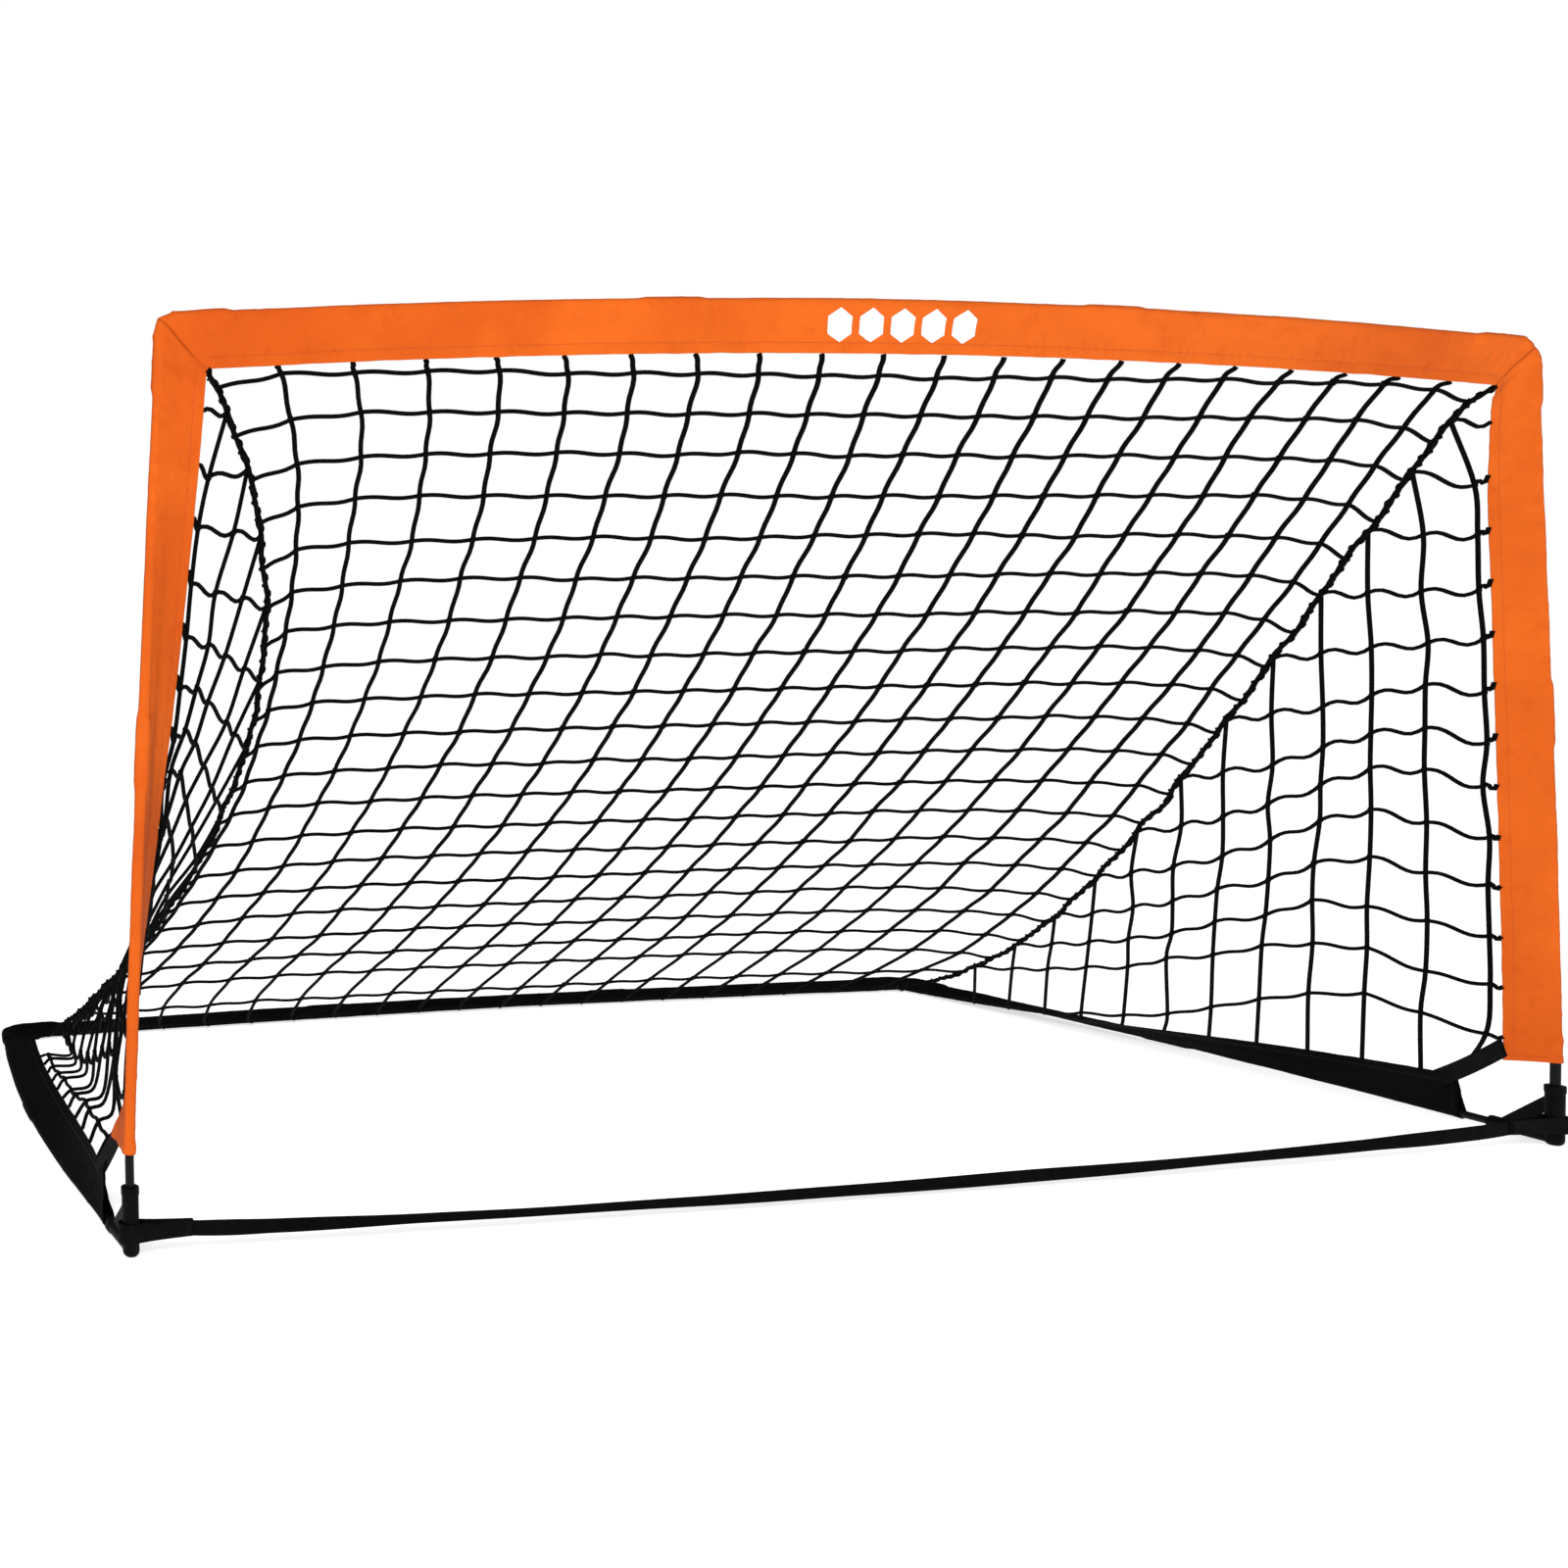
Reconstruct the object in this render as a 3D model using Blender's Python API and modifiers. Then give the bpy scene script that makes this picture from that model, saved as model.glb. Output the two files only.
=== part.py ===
"""Portable pole-and-sleeve soccer goal, about 7 ft wide, 4 ft high and 4 ft deep.

A front arch of shock-corded tubes in orange fabric sleeves plugs into two moulded corner
connectors. A U of tubes in black sleeves lies on the ground behind them, and a net hangs between.

Frame: origin on the ground at the centre of the footprint, +X along the width, the mouth faces -Y,
+Z up. The left side, seen from the mouth, is at -X. Everything is in metres.
"""

import math

import bmesh
import bpy
from mathutils import Vector

# Arch, measured to the poles' centre line
POST_X = 1.089  # posts, at the connectors
TOP_X = 1.027  # posts, at the top corners: they lean inward
CORNER_Z = 1.189  # crossbar, at its ends
CROWN = 0.036  # how far the crossbar bows up at mid span
HEM_CROWN = 0.032  # the same for its hem
LEAN_POWER = 1.15
CORNER_R = 0.040
FRONT_Y = -0.6450

# Ground U, measured to the poles' centre line
BASE_Z = 0.0105
SIDE_BOW = 0.036  # how far a side pole bows out
REAR_Y = 0.6085  # rear poles, at the corners
REAR_BOW = 0.040
REAR_BOW_POWER = 1.25
REAR_R = 0.060

# Poles and the joints inside the sleeves
POLE_R = 0.0060
POLE_WALL = 0.0021
POLE_GAP = 0.0010  # between the ends of two poles in a ferrule
FERRULE_R = 0.0073
FERRULE_BORE_R = 0.0064
FERRULE_LENGTH = 0.070
ELBOW_R = 0.0082
ELBOW_ARM = 0.045  # straight arm of an elbow beyond its bend
CORD_R = 0.0014
CORD_INSET = 0.004  # from the ends of the poles

# Corner connector
SOCKET_R = 0.0110
SOCKET_LIP_R = 0.0118
SOCKET_LIP = 0.010
SOCKET_TOP = 0.090
SOCKET_BORE_R = 0.0064
SOCKET_FLOOR = 0.028
SEAT = 0.002  # from a socket's floor to the pole's end
BORE_END = 0.100  # the bore cutters run this far, past both mouths
FOOT_PROFILE = ((0.007, 0.0110), (0.003, 0.0098), (0.0, 0.0065))  # height, radius of the round foot
STEP = 0.001  # height of the step under a lip or collar
REAR_SOCKET_R = 0.0090
REAR_COLLAR_R = 0.0102
REAR_COLLAR = 0.012
REAR_SOCKET_REACH = 0.085
REAR_SOCKET_FLOOR = 0.020
GUSSET_THICK = 0.006
GUSSET_TOP = 0.078
GUSSET_FRONT = 0.004
WINDOW_Z = (0.0195, 0.0460)
WINDOW_REACH = 0.020
WINDOW_CORNER = (0.005, 0.010)
WINDOW_UNDERCUT = 0.0002  # into the post's socket

# Sleeves: a fabric tube round the pole that runs out into a flat flap
SLEEVE_R = 0.010
SLEEVE_WALL = 0.0008
FLAP = 0.062  # from the pole's centre line to the hem
HEM_HALF = 0.0025
POST_SLEEVE_FOOT = 0.125
BASE_SLEEVE_START = 0.115  # behind the post
SEAM_GAP = 0.0007
LEFT_FLAP_TURN = (0.0, 90.0)  # degrees a post's flap has turned rearward, at its top and its foot
RIGHT_FLAP_TURN = (16.0, 24.0)
MITRE_EASE = 0.06  # share of the flap that turns back to meet the mitre

# Net, lacing and straps
NET_THICK = 0.0010
LACE_R = 0.004
LACE_CURVE = (  # Bezier points of the right lacing
    (0.956, -0.628, 1.126),
    (0.646, -0.480, 0.588),
    (1.049, 0.112, 0.120),
    (0.997, 0.5265, 0.018),
)
MIDDLE_CURVE = (  # and of the back net's centre line, as depth and height
    (-0.634, 1.156),
    (-0.473, 0.807),
    (-0.173, 0.419),
    (0.5665, 0.018),
)
TOP_DROOP = 4.0  # power with which a row drops towards the lacing, at the top
FOOT_DROOP = 2.0
NET_TO_LACE = 0.008
SIDE_NET_START = 0.04  # share of the lacing above a side net's first row
SIDE_NET_DROP = 0.020  # from the mitre to the top of a side net's front edge
SIDE_NET_RISE = 0.050  # from the foot of the post's sleeve to its bottom
NET_TO_HEM = 0.016
NET_BEHIND_HEM = 0.012
STRAP_Z = 0.0315
STRAP_WIDTH = 0.020
STRAP_THICK = 0.0015
LOOP_BORE_R = 0.0120
LOOP_WIDTH = 0.022
LOOP_REACH = 0.082
LOOP_LEAVES = 65.0  # degrees round the post at which the loop turns into its two straight sides
LOOP_STITCH = 0.010
LOOP_TIP_HALF = (0.0022, 0.0006)  # outside and inside
LINK_WIDTH = 0.028
LINK_THICK = 0.0012
CLEAR = 0.003  # ordinary clearance between soft pieces

UP = Vector((0, 0, 1))
BACK = Vector((0, 1, 0))

COLOURS = {
    "orange_fabric": ((0.93, 0.16, 0.022), 0.75, 0.0),
    "black_fabric": ((0.012, 0.012, 0.013), 0.80, 0.0),
    "black_plastic": ((0.010, 0.010, 0.011), 0.45, 0.0),
    "fibreglass": ((0.022, 0.023, 0.026), 0.35, 0.0),
    "ferrule_metal": ((0.62, 0.63, 0.65), 0.35, 1.0),
    "elastic_cord": ((0.60, 0.60, 0.58), 0.85, 0.0),
    "net_cord": ((0.010, 0.010, 0.010), 0.85, 0.0),
    "webbing": ((0.020, 0.020, 0.021), 0.80, 0.0),
}


def clear_scene():
    for obj in list(bpy.data.objects):
        bpy.data.objects.remove(obj, do_unlink=True)


def new_collection(name, hidden=False):
    collection = bpy.data.collections.new(name)
    collection.hide_render = hidden
    bpy.context.scene.collection.children.link(collection)
    return collection


def own_material(name, look):
    colour, roughness, metallic = COLOURS[look]
    material = bpy.data.materials.new(name)
    material.use_nodes = True
    shader = material.node_tree.nodes["Principled BSDF"]
    shader.inputs["Base Color"].default_value = (*colour, 1.0)
    shader.inputs["Roughness"].default_value = roughness
    shader.inputs["Metallic"].default_value = metallic
    return material


def place(name, data, look):
    """A new object in the goal's collection, with its own material."""
    obj = bpy.data.objects.new(name, data)
    if look:
        data.materials.append(own_material(name, look))
        goal.objects.link(obj)
    else:
        cutters.objects.link(obj)
        obj.hide_render = True
        obj.display_type = "WIRE"
    return obj


# Paths ------------------------------------------------------------------------------------------


def post_x(z):
    """How far from the centre plane a post stands at height z."""
    rise = max(0.0, (z - POST_SLEEVE_FOOT) / (CORNER_Z - POST_SLEEVE_FOOT))
    return POST_X - (POST_X - TOP_X) * rise**LEAN_POWER


def crossbar_z(x):
    return CORNER_Z + CROWN * (1 - (x / TOP_X) ** 2)


def crossbar_hem_z(x):
    """The hem follows the bow, but starts at the posts' inner corner."""
    hem_half = post_x(CORNER_Z - FLAP) - FLAP
    return CORNER_Z - FLAP + HEM_CROWN * (1 - (x / hem_half) ** 2)


def side_x(y):
    """How far from the centre plane a ground side pole lies at depth y."""
    share = min(1.0, max(0.0, (y - FRONT_Y) / (REAR_Y - FRONT_Y)))
    return POST_X + SIDE_BOW * math.sin(math.pi * share)


def socket_turn():
    """The angle at which the rear sockets splay outward, in radians."""
    return math.atan2(side_x(FRONT_Y + REAR_SOCKET_REACH) - POST_X, REAR_SOCKET_REACH)


def rear_y(x):
    share = 0.5 + x / (2 * POST_X)
    return REAR_Y + REAR_BOW * math.sin(math.pi * min(1.0, max(0.0, share))) ** REAR_BOW_POWER


def spread(start, end, count):
    return [start + (end - start) * i / (count - 1) for i in range(count)]


def mirrored(half):
    """A path symmetric about X = 0, from its left half, whose last point is on the plane."""
    return half + [Vector((-p.x, p.y, p.z)) for p in reversed(half[:-1])]


def arch_path():
    foot_z = SOCKET_FLOOR + SEAT
    bend_z = CORNER_Z - CORNER_R
    bend_x = post_x(bend_z) - CORNER_R
    top_z = crossbar_z(bend_x)
    half = [Vector((-POST_X, FRONT_Y, foot_z))]
    half += [Vector((-post_x(z), FRONT_Y, z)) for z in spread(POST_SLEEVE_FOOT, bend_z, 9)]
    for degrees in (22.5, 45.0, 67.5):
        turn = math.radians(degrees)
        x = bend_x + CORNER_R * math.cos(turn)
        half.append(Vector((-x, FRONT_Y, bend_z + (top_z - bend_z) * math.sin(turn))))
    half += [Vector((-x, FRONT_Y, crossbar_z(x))) for x in spread(bend_x, 0.0, 8)]
    return mirrored(half)


def base_path():
    start = REAR_SOCKET_FLOOR + SEAT
    bend_y = REAR_Y - REAR_R
    bend_x = POST_X - REAR_R
    turn = socket_turn()
    half = [Vector((-POST_X - start * math.sin(turn), FRONT_Y + start * math.cos(turn), BASE_Z))]
    half += [
        Vector((-side_x(y), y, BASE_Z)) for y in spread(FRONT_Y + REAR_SOCKET_REACH, bend_y, 11)
    ]
    corner_x, corner_y = side_x(bend_y), rear_y(bend_x)
    for degrees in (22.5, 45.0, 67.5):
        turn = math.radians(degrees)
        x = bend_x + (corner_x - bend_x) * math.cos(turn)
        half.append(Vector((-x, bend_y + (corner_y - bend_y) * math.sin(turn), BASE_Z)))
    half += [Vector((-x, rear_y(x), BASE_Z)) for x in spread(bend_x, 0.0, 8)]
    return mirrored(half)


def distances(path):
    """The distance along the path at each of its points."""
    total = [0.0]
    for a, b in zip(path, path[1:]):
        total.append(total[-1] + (b - a).length)
    return total


def point_at(path, distance):
    reached = distances(path)
    for a, b, start, end in zip(path, path[1:], reached, reached[1:]):
        if distance <= end:
            return a.lerp(b, (distance - start) / (end - start))
    return path[-1].copy()


def cut(path, start, end):
    """The part of the path between two distances along it."""
    inner = [p for p, at in zip(path, distances(path)) if start + 1e-4 < at < end - 1e-4]
    return [point_at(path, start)] + inner + [point_at(path, end)]


def direction_at(path, distance, step=0.004):
    ahead = point_at(path, distance + step)
    behind = point_at(path, max(0.0, distance - step))
    return (ahead - behind).normalized()


# Builders ---------------------------------------------------------------------------------------


def wire(name, points, radius, look, resolution=1, caps=True):
    """A round wire or an open tube surface along a path."""
    data = bpy.data.curves.new(name, "CURVE")
    data.dimensions = "3D"
    data.bevel_depth = radius
    data.bevel_resolution = resolution
    data.use_fill_caps = caps
    spline = data.splines.new("POLY")
    spline.points.add(len(points) - 1)
    for target, p in zip(spline.points, points):
        target.co = (*p, 1.0)
    return place(name, data, look)


def tube(name, points, radius, wall, look):
    """A hollow tube, open at both ends."""
    obj = wire(name, points, radius, look, resolution=4, caps=False)
    shell = obj.modifiers.new("wall", "SOLIDIFY")
    shell.thickness = wall
    shell.offset = -1
    return obj


def sheet(name, rows, thickness, look, closed=False):
    """A skin over rows of points, given a thickness. A closed row joins its last point to its first."""
    mesh = bmesh.new()
    grid = [[mesh.verts.new(p) for p in row] for row in rows]
    across = len(grid[0])
    for row, after in zip(grid, grid[1:]):
        for i in range(across if closed else across - 1):
            j = (i + 1) % across
            mesh.faces.new((row[i], row[j], after[j], after[i]))
    first = next(iter(mesh.faces))
    first.normal_update()
    middle = sum((v.co for v in grid[0]), Vector()) / across
    if closed and first.normal.dot(first.calc_center_median() - middle) < 0:
        bmesh.ops.reverse_faces(mesh, faces=mesh.faces)
    data = bpy.data.meshes.new(name)
    mesh.to_mesh(data)
    mesh.free()
    obj = place(name, data, look)
    shell = obj.modifiers.new("thickness", "SOLIDIFY")
    shell.thickness = thickness
    shell.offset = -1 if closed else 0
    data.shade_smooth()
    data.set_sharp_from_angle(angle=math.radians(40))
    return obj


def sleeve_ring(axis, along, hem):
    """A sleeve's section: a half circle round the pole, then two flat sides that meet at the hem."""
    inward = hem - axis
    inward = (inward - along * inward.dot(along)).normalized()
    across = along.cross(inward).normalized()
    ring = []
    for degrees in range(-90, 91, 30):
        turn = math.radians(degrees)
        ring.append(axis + SLEEVE_R * (across * math.sin(turn) - inward * math.cos(turn)))
    ring.append(hem + across * HEM_HALF)
    ring.append(hem - across * HEM_HALF)
    return ring


def turned(name, profile, look):
    """A solid of revolution about Z from (radius, height) points that start and end on the axis."""
    mesh = bmesh.new()
    verts = [mesh.verts.new((radius, 0, height)) for radius, height in profile]
    for a, b in zip(verts, verts[1:]):
        mesh.edges.new((a, b))
    data = bpy.data.meshes.new(name)
    mesh.to_mesh(data)
    mesh.free()
    obj = place(name, data, look)
    screw = obj.modifiers.new("turn", "SCREW")
    screw.steps = screw.render_steps = 24
    screw.use_merge_vertices = True
    screw.merge_threshold = 1e-5
    return obj


def plate(name, outline, thickness, look):
    """A flat outline in the local XY plane, extruded both ways, as a mesh."""
    data = bpy.data.curves.new(name, "CURVE")
    data.dimensions = "2D"
    data.fill_mode = "BOTH"
    data.extrude = thickness / 2
    for loop in outline:
        spline = data.splines.new("POLY")
        spline.points.add(len(loop) - 1)
        for target, (x, y) in zip(spline.points, loop):
            target.co = (x, y, 0, 1)
        spline.use_cyclic_u = True
    drawn = bpy.data.objects.new(name, data)
    cutters.objects.link(drawn)
    graph = bpy.context.evaluated_depsgraph_get()
    flat = bpy.data.meshes.new_from_object(drawn.evaluated_get(graph))
    bpy.data.objects.remove(drawn)
    mesh = bmesh.new()
    mesh.from_mesh(flat)
    bmesh.ops.remove_doubles(mesh, verts=mesh.verts, dist=1e-6)
    bmesh.ops.recalc_face_normals(mesh, faces=mesh.faces)
    mesh.to_mesh(flat)
    mesh.free()
    return place(name, flat, look)


def combine(target, other, operation):
    step = target.modifiers.new(f"{operation.lower()} {other.name}", "BOOLEAN")
    step.operation = operation
    step.solver = "EXACT"
    step.object = other


# The arch ---------------------------------------------------------------------------------------


def build_poles(path, bends, joints, names, joint_names, elbow_names, cord_name):
    """Poles, ferrules, elbows and the shock cord along one path."""
    total = distances(path)[-1]
    stops = [(0.0, 0.0)]
    stops += [(joint - POLE_GAP / 2, joint + POLE_GAP / 2) for joint in joints]
    stops += [(start - POLE_GAP, end + POLE_GAP) for start, end in bends]
    stops += [(total, total)]
    stops.sort()
    for name, (_, start), (end, _) in zip(names, stops, stops[1:]):
        tube(name, cut(path, start, end), POLE_R, POLE_WALL, "fibreglass")
    half = FERRULE_LENGTH / 2
    for name, joint in zip(joint_names, joints):
        span = cut(path, joint - half, joint + half)
        tube(name, span, FERRULE_R, FERRULE_R - FERRULE_BORE_R, "ferrule_metal")
    for name, (start, end) in zip(elbow_names, bends):
        span = cut(path, start - ELBOW_ARM, end + ELBOW_ARM)
        tube(name, span, ELBOW_R, ELBOW_R - FERRULE_BORE_R, "black_plastic")
    wire(cord_name, cut(path, CORD_INSET, total - CORD_INSET), CORD_R, "elastic_cord")


def bend_span(path, first, count=5):
    """Where a bend starts and ends along the path, from the index of its first point."""
    reached = distances(path)
    return reached[first], reached[first + count - 1]


def build_arch_poles(path, left_bend, right_bend):
    bar_start, bar_end = left_bend[1], right_bend[0]
    third = (bar_end - bar_start) / 3
    total = distances(path)[-1]
    post_joint = left_bend[0] * 0.55
    joints = [post_joint, bar_start + third, bar_end - third, total - post_joint]
    build_poles(
        path,
        [left_bend, right_bend],
        joints,
        [
            "left_post_pole_lower",
            "left_post_pole_upper",
            "crossbar_pole_left",
            "crossbar_pole_middle",
            "crossbar_pole_right",
            "right_post_pole_upper",
            "right_post_pole_lower",
        ],
        [
            "left_post_ferrule",
            "crossbar_ferrule_left",
            "crossbar_ferrule_right",
            "right_post_ferrule",
        ],
        ["top_elbow_left", "top_elbow_right"],
        "arch_shock_cord",
    )


def flap_turn(z, turns):
    """How far a post's flap has turned rearward at height z, in radians."""
    top, foot = turns
    rise = (z - POST_SLEEVE_FOOT) / (CORNER_Z - FLAP - POST_SLEEVE_FOOT)
    rise = min(1.0, max(0.0, rise))
    return math.radians(foot + (top - foot) * rise) * min(1.0, (1.0 - rise) / MITRE_EASE)


def post_hem(side, z, turns):
    turn = flap_turn(z, turns)
    inward = Vector((-side * math.cos(turn), math.sin(turn), 0))
    return Vector((side * post_x(z), FRONT_Y, z)) + FLAP * inward


def build_post_sleeve(name, path, bend, side, turns):
    """Rings climb the post and fan round the bend to the mitre, where their hem ends lower down."""
    span = cut(path, POST_SLEEVE_FOOT - path[0].z, sum(bend) / 2 - SEAM_GAP)
    hem_rise = CORNER_Z - FLAP - 2 * SEAM_GAP - POST_SLEEVE_FOOT
    rings = []
    for p in span:
        along = mirror_x(direction_at(path, nearest_distance(path, p)), side)
        share = (p.z - POST_SLEEVE_FOOT) / (span[-1].z - POST_SLEEVE_FOOT)
        hem = post_hem(side, POST_SLEEVE_FOOT + hem_rise * share, turns)
        rings.append(sleeve_ring(mirror_x(p, side), along, hem))
    sheet(name, rings, SLEEVE_WALL, "orange_fabric", closed=True)


def mirror_x(vector, side):
    """A vector given for the left side (-X), or its mirror image for the right."""
    return Vector((vector.x * -side, vector.y, vector.z))


def nearest_distance(path, point):
    """Distance along the path of a point that lies on it."""

    def detour(leg):
        start, end, _ = leg
        return (point - start).length + (end - point).length - (end - start).length

    start, _, reached = min(zip(path, path[1:], distances(path)), key=detour)
    return reached + (point - start).length


def build_crossbar_sleeve(path, left_bend, right_bend):
    span = cut(path, sum(left_bend) / 2 + SEAM_GAP, sum(right_bend) / 2 - SEAM_GAP)
    hem_half = post_x(CORNER_Z - FLAP) - FLAP - 2 * SEAM_GAP
    rings = []
    for p in span:
        along = direction_at(path, nearest_distance(path, p))
        x = p.x * hem_half / span[-1].x
        hem = Vector((x, FRONT_Y, crossbar_hem_z(x)))
        rings.append(sleeve_ring(p, along, hem))
    sheet("crossbar_sleeve", rings, SLEEVE_WALL, "orange_fabric", closed=True)


def build_arch():
    path = arch_path()
    left_bend = bend_span(path, 9)
    right_bend = bend_span(path, len(path) - 14)
    build_arch_poles(path, left_bend, right_bend)
    build_post_sleeve("left_post_sleeve", path, left_bend, -1, LEFT_FLAP_TURN)
    build_post_sleeve("right_post_sleeve", path, left_bend, 1, RIGHT_FLAP_TURN)
    build_crossbar_sleeve(path, left_bend, right_bend)


# The ground U -----------------------------------------------------------------------------------


def build_base_poles(path, left_bend, right_bend):
    rear_start, rear_end = left_bend[1], right_bend[0]
    third = (rear_end - rear_start) / 3
    total = distances(path)[-1]
    side_joint = left_bend[0] * 0.52
    joints = [side_joint, rear_start + third, rear_end - third, total - side_joint]
    build_poles(
        path,
        [left_bend, right_bend],
        joints,
        [
            "left_side_pole_front",
            "left_side_pole_rear",
            "rear_pole_left",
            "rear_pole_middle",
            "rear_pole_right",
            "right_side_pole_rear",
            "right_side_pole_front",
        ],
        [
            "left_side_ferrule",
            "rear_ferrule_left",
            "rear_ferrule_right",
            "right_side_ferrule",
        ],
        ["rear_elbow_left", "rear_elbow_right"],
        "base_shock_cord",
    )


def side_flap_lift(y):
    """How far a side flap stands up at depth y: upright in front, flat on the ground at the rear."""
    start = FRONT_Y + BASE_SLEEVE_START
    share = min(1.0, max(0.0, (y - start) / (REAR_Y - FLAP - start)))
    return math.radians(90) * (1 - share) ** 1.6


def side_hem(side, y):
    lift = side_flap_lift(y)
    drop = BASE_Z - SLEEVE_R + HEM_HALF
    z = BASE_Z + FLAP * math.sin(lift)
    z += (drop - BASE_Z) * math.cos(lift)
    return Vector((side * (side_x(y) - FLAP * math.cos(lift)), y, z))


def build_side_sleeve(name, path, bend, side):
    span = cut(path, FRONT_Y + BASE_SLEEVE_START - path[0].y, sum(bend) / 2 - SEAM_GAP)
    start = span[0].y
    hem_run = REAR_Y - FLAP - 2 * SEAM_GAP - start
    rings = []
    for p in span:
        along = mirror_x(direction_at(path, nearest_distance(path, p)), side)
        hem = side_hem(side, start + hem_run * (p.y - start) / (span[-1].y - start))
        rings.append(sleeve_ring(mirror_x(p, side), along, hem))
    sheet(name, rings, SLEEVE_WALL, "black_fabric", closed=True)


def build_rear_sleeve(path, left_bend, right_bend):
    span = cut(path, sum(left_bend) / 2 + SEAM_GAP, sum(right_bend) / 2 - SEAM_GAP)
    hem_half = side_x(REAR_Y - FLAP) - FLAP - 2 * SEAM_GAP
    hem_z = BASE_Z - SLEEVE_R + HEM_HALF
    rings = []
    for p in span:
        along = direction_at(path, nearest_distance(path, p))
        x = p.x * hem_half / span[-1].x
        share = abs(x) / hem_half
        y = rear_y(x) - FLAP - (rear_y(hem_half) - REAR_Y) * share**8
        rings.append(sleeve_ring(p, along, Vector((x, y, hem_z))))
    sheet("rear_sleeve", rings, SLEEVE_WALL, "black_fabric", closed=True)


def build_base():
    path = base_path()
    left_bend = bend_span(path, 11)
    right_bend = bend_span(path, len(path) - 16)
    build_base_poles(path, left_bend, right_bend)
    build_side_sleeve("left_side_sleeve", path, left_bend, -1)
    build_side_sleeve("right_side_sleeve", path, left_bend, 1)
    build_rear_sleeve(path, left_bend, right_bend)


# Corner connectors ------------------------------------------------------------------------------


def bore_profile(floor):
    return [(0, BORE_END), (SOCKET_BORE_R, BORE_END), (SOCKET_BORE_R, floor), (0, floor)]


def build_connector(name, side):
    """One moulding: a vertical socket, a rear-facing socket and a windowed gusset between them."""
    place_at = (side * POST_X, FRONT_Y, 0)
    lip_start = SOCKET_TOP - SOCKET_LIP
    profile = [
        (0, SOCKET_TOP),
        (SOCKET_LIP_R, SOCKET_TOP),
        (SOCKET_LIP_R, lip_start),
        (SOCKET_R, lip_start - STEP),
    ]
    profile += [(radius, height) for height, radius in FOOT_PROFILE]
    body = turned(name, profile + [(0, 0)], "black_plastic")
    body.location = place_at
    rear = turned(
        f"{name}_rear_socket",
        [
            (0, REAR_SOCKET_REACH),
            (REAR_COLLAR_R, REAR_SOCKET_REACH),
            (REAR_COLLAR_R, REAR_SOCKET_REACH - REAR_COLLAR),
            (REAR_SOCKET_R, REAR_SOCKET_REACH - REAR_COLLAR - STEP),
            (REAR_SOCKET_R, 0.0),
            (0, 0.0),
        ],
        None,
    )
    rear.location = (side * POST_X, FRONT_Y, BASE_Z)
    rear.rotation_euler = (math.radians(-90), 0, -side * socket_turn())
    gusset_end = REAR_SOCKET_REACH - REAR_COLLAR - 2 * STEP
    gusset = plate(
        f"{name}_gusset",
        [
            [
                (GUSSET_FRONT, BASE_Z),
                (gusset_end, BASE_Z),
                (gusset_end, BASE_Z + REAR_SOCKET_R),
                (GUSSET_FRONT, GUSSET_TOP),
            ]
        ],
        GUSSET_THICK,
        None,
    )
    gusset.location = place_at
    gusset.rotation_euler = (math.radians(90), 0, math.radians(90) - side * socket_turn())
    window_low, window_high = WINDOW_Z
    window_front = SOCKET_R - WINDOW_UNDERCUT
    window = plate(
        f"{name}_window",
        [
            [
                (window_front, window_low),
                (WINDOW_REACH, window_low),
                (WINDOW_REACH, window_high - WINDOW_CORNER[1]),
                (WINDOW_REACH - WINDOW_CORNER[0], window_high),
                (window_front, window_high),
            ]
        ],
        2 * GUSSET_THICK,
        None,
    )
    window.location = place_at
    window.rotation_euler = gusset.rotation_euler
    combine(gusset, window, "DIFFERENCE")
    bore = turned(
        f"{name}_bore",
        bore_profile(SOCKET_FLOOR),
        None,
    )
    bore.location = place_at
    rear_bore = turned(
        f"{name}_rear_bore",
        bore_profile(REAR_SOCKET_FLOOR),
        None,
    )
    rear_bore.location = rear.location
    rear_bore.rotation_euler = rear.rotation_euler
    combine(body, rear, "UNION")
    combine(body, gusset, "UNION")
    combine(body, bore, "DIFFERENCE")
    combine(body, rear_bore, "DIFFERENCE")


# Straps -----------------------------------------------------------------------------------------


def build_front_strap():
    reach = POST_X - LOOP_REACH - 0.0005
    bpy.ops.mesh.primitive_cube_add(size=1, location=(0, FRONT_Y, STRAP_Z))
    strap = bpy.context.object
    strap.name = strap.data.name = "front_strap"
    strap.scale = (2 * reach, STRAP_THICK, STRAP_WIDTH)
    strap.data.materials.append(own_material("front_strap", "webbing"))
    for collection in list(strap.users_collection):
        collection.objects.unlink(strap)
    goal.objects.link(strap)


def teardrop(radius, tip, half_tip, steps=14):
    """A loop round the origin whose two sides run to +X and meet there."""
    outline = [(tip, -half_tip)]
    outline.append((tip, half_tip))
    for i in range(steps + 1):
        turn = math.radians(LOOP_LEAVES + (360 - 2 * LOOP_LEAVES) * i / steps)
        outline.append((radius * math.cos(turn), radius * math.sin(turn)))
    return outline


def build_strap_loop(name, side):
    outer = teardrop(LOOP_BORE_R + STRAP_THICK, LOOP_REACH, LOOP_TIP_HALF[0])
    inner = teardrop(LOOP_BORE_R, LOOP_REACH - LOOP_STITCH, LOOP_TIP_HALF[1])
    loop = plate(name, [outer, inner], LOOP_WIDTH, "webbing")
    loop.location = (side * POST_X, FRONT_Y, STRAP_Z)
    loop.rotation_euler = (0, 0, 0 if side < 0 else math.pi)


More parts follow.
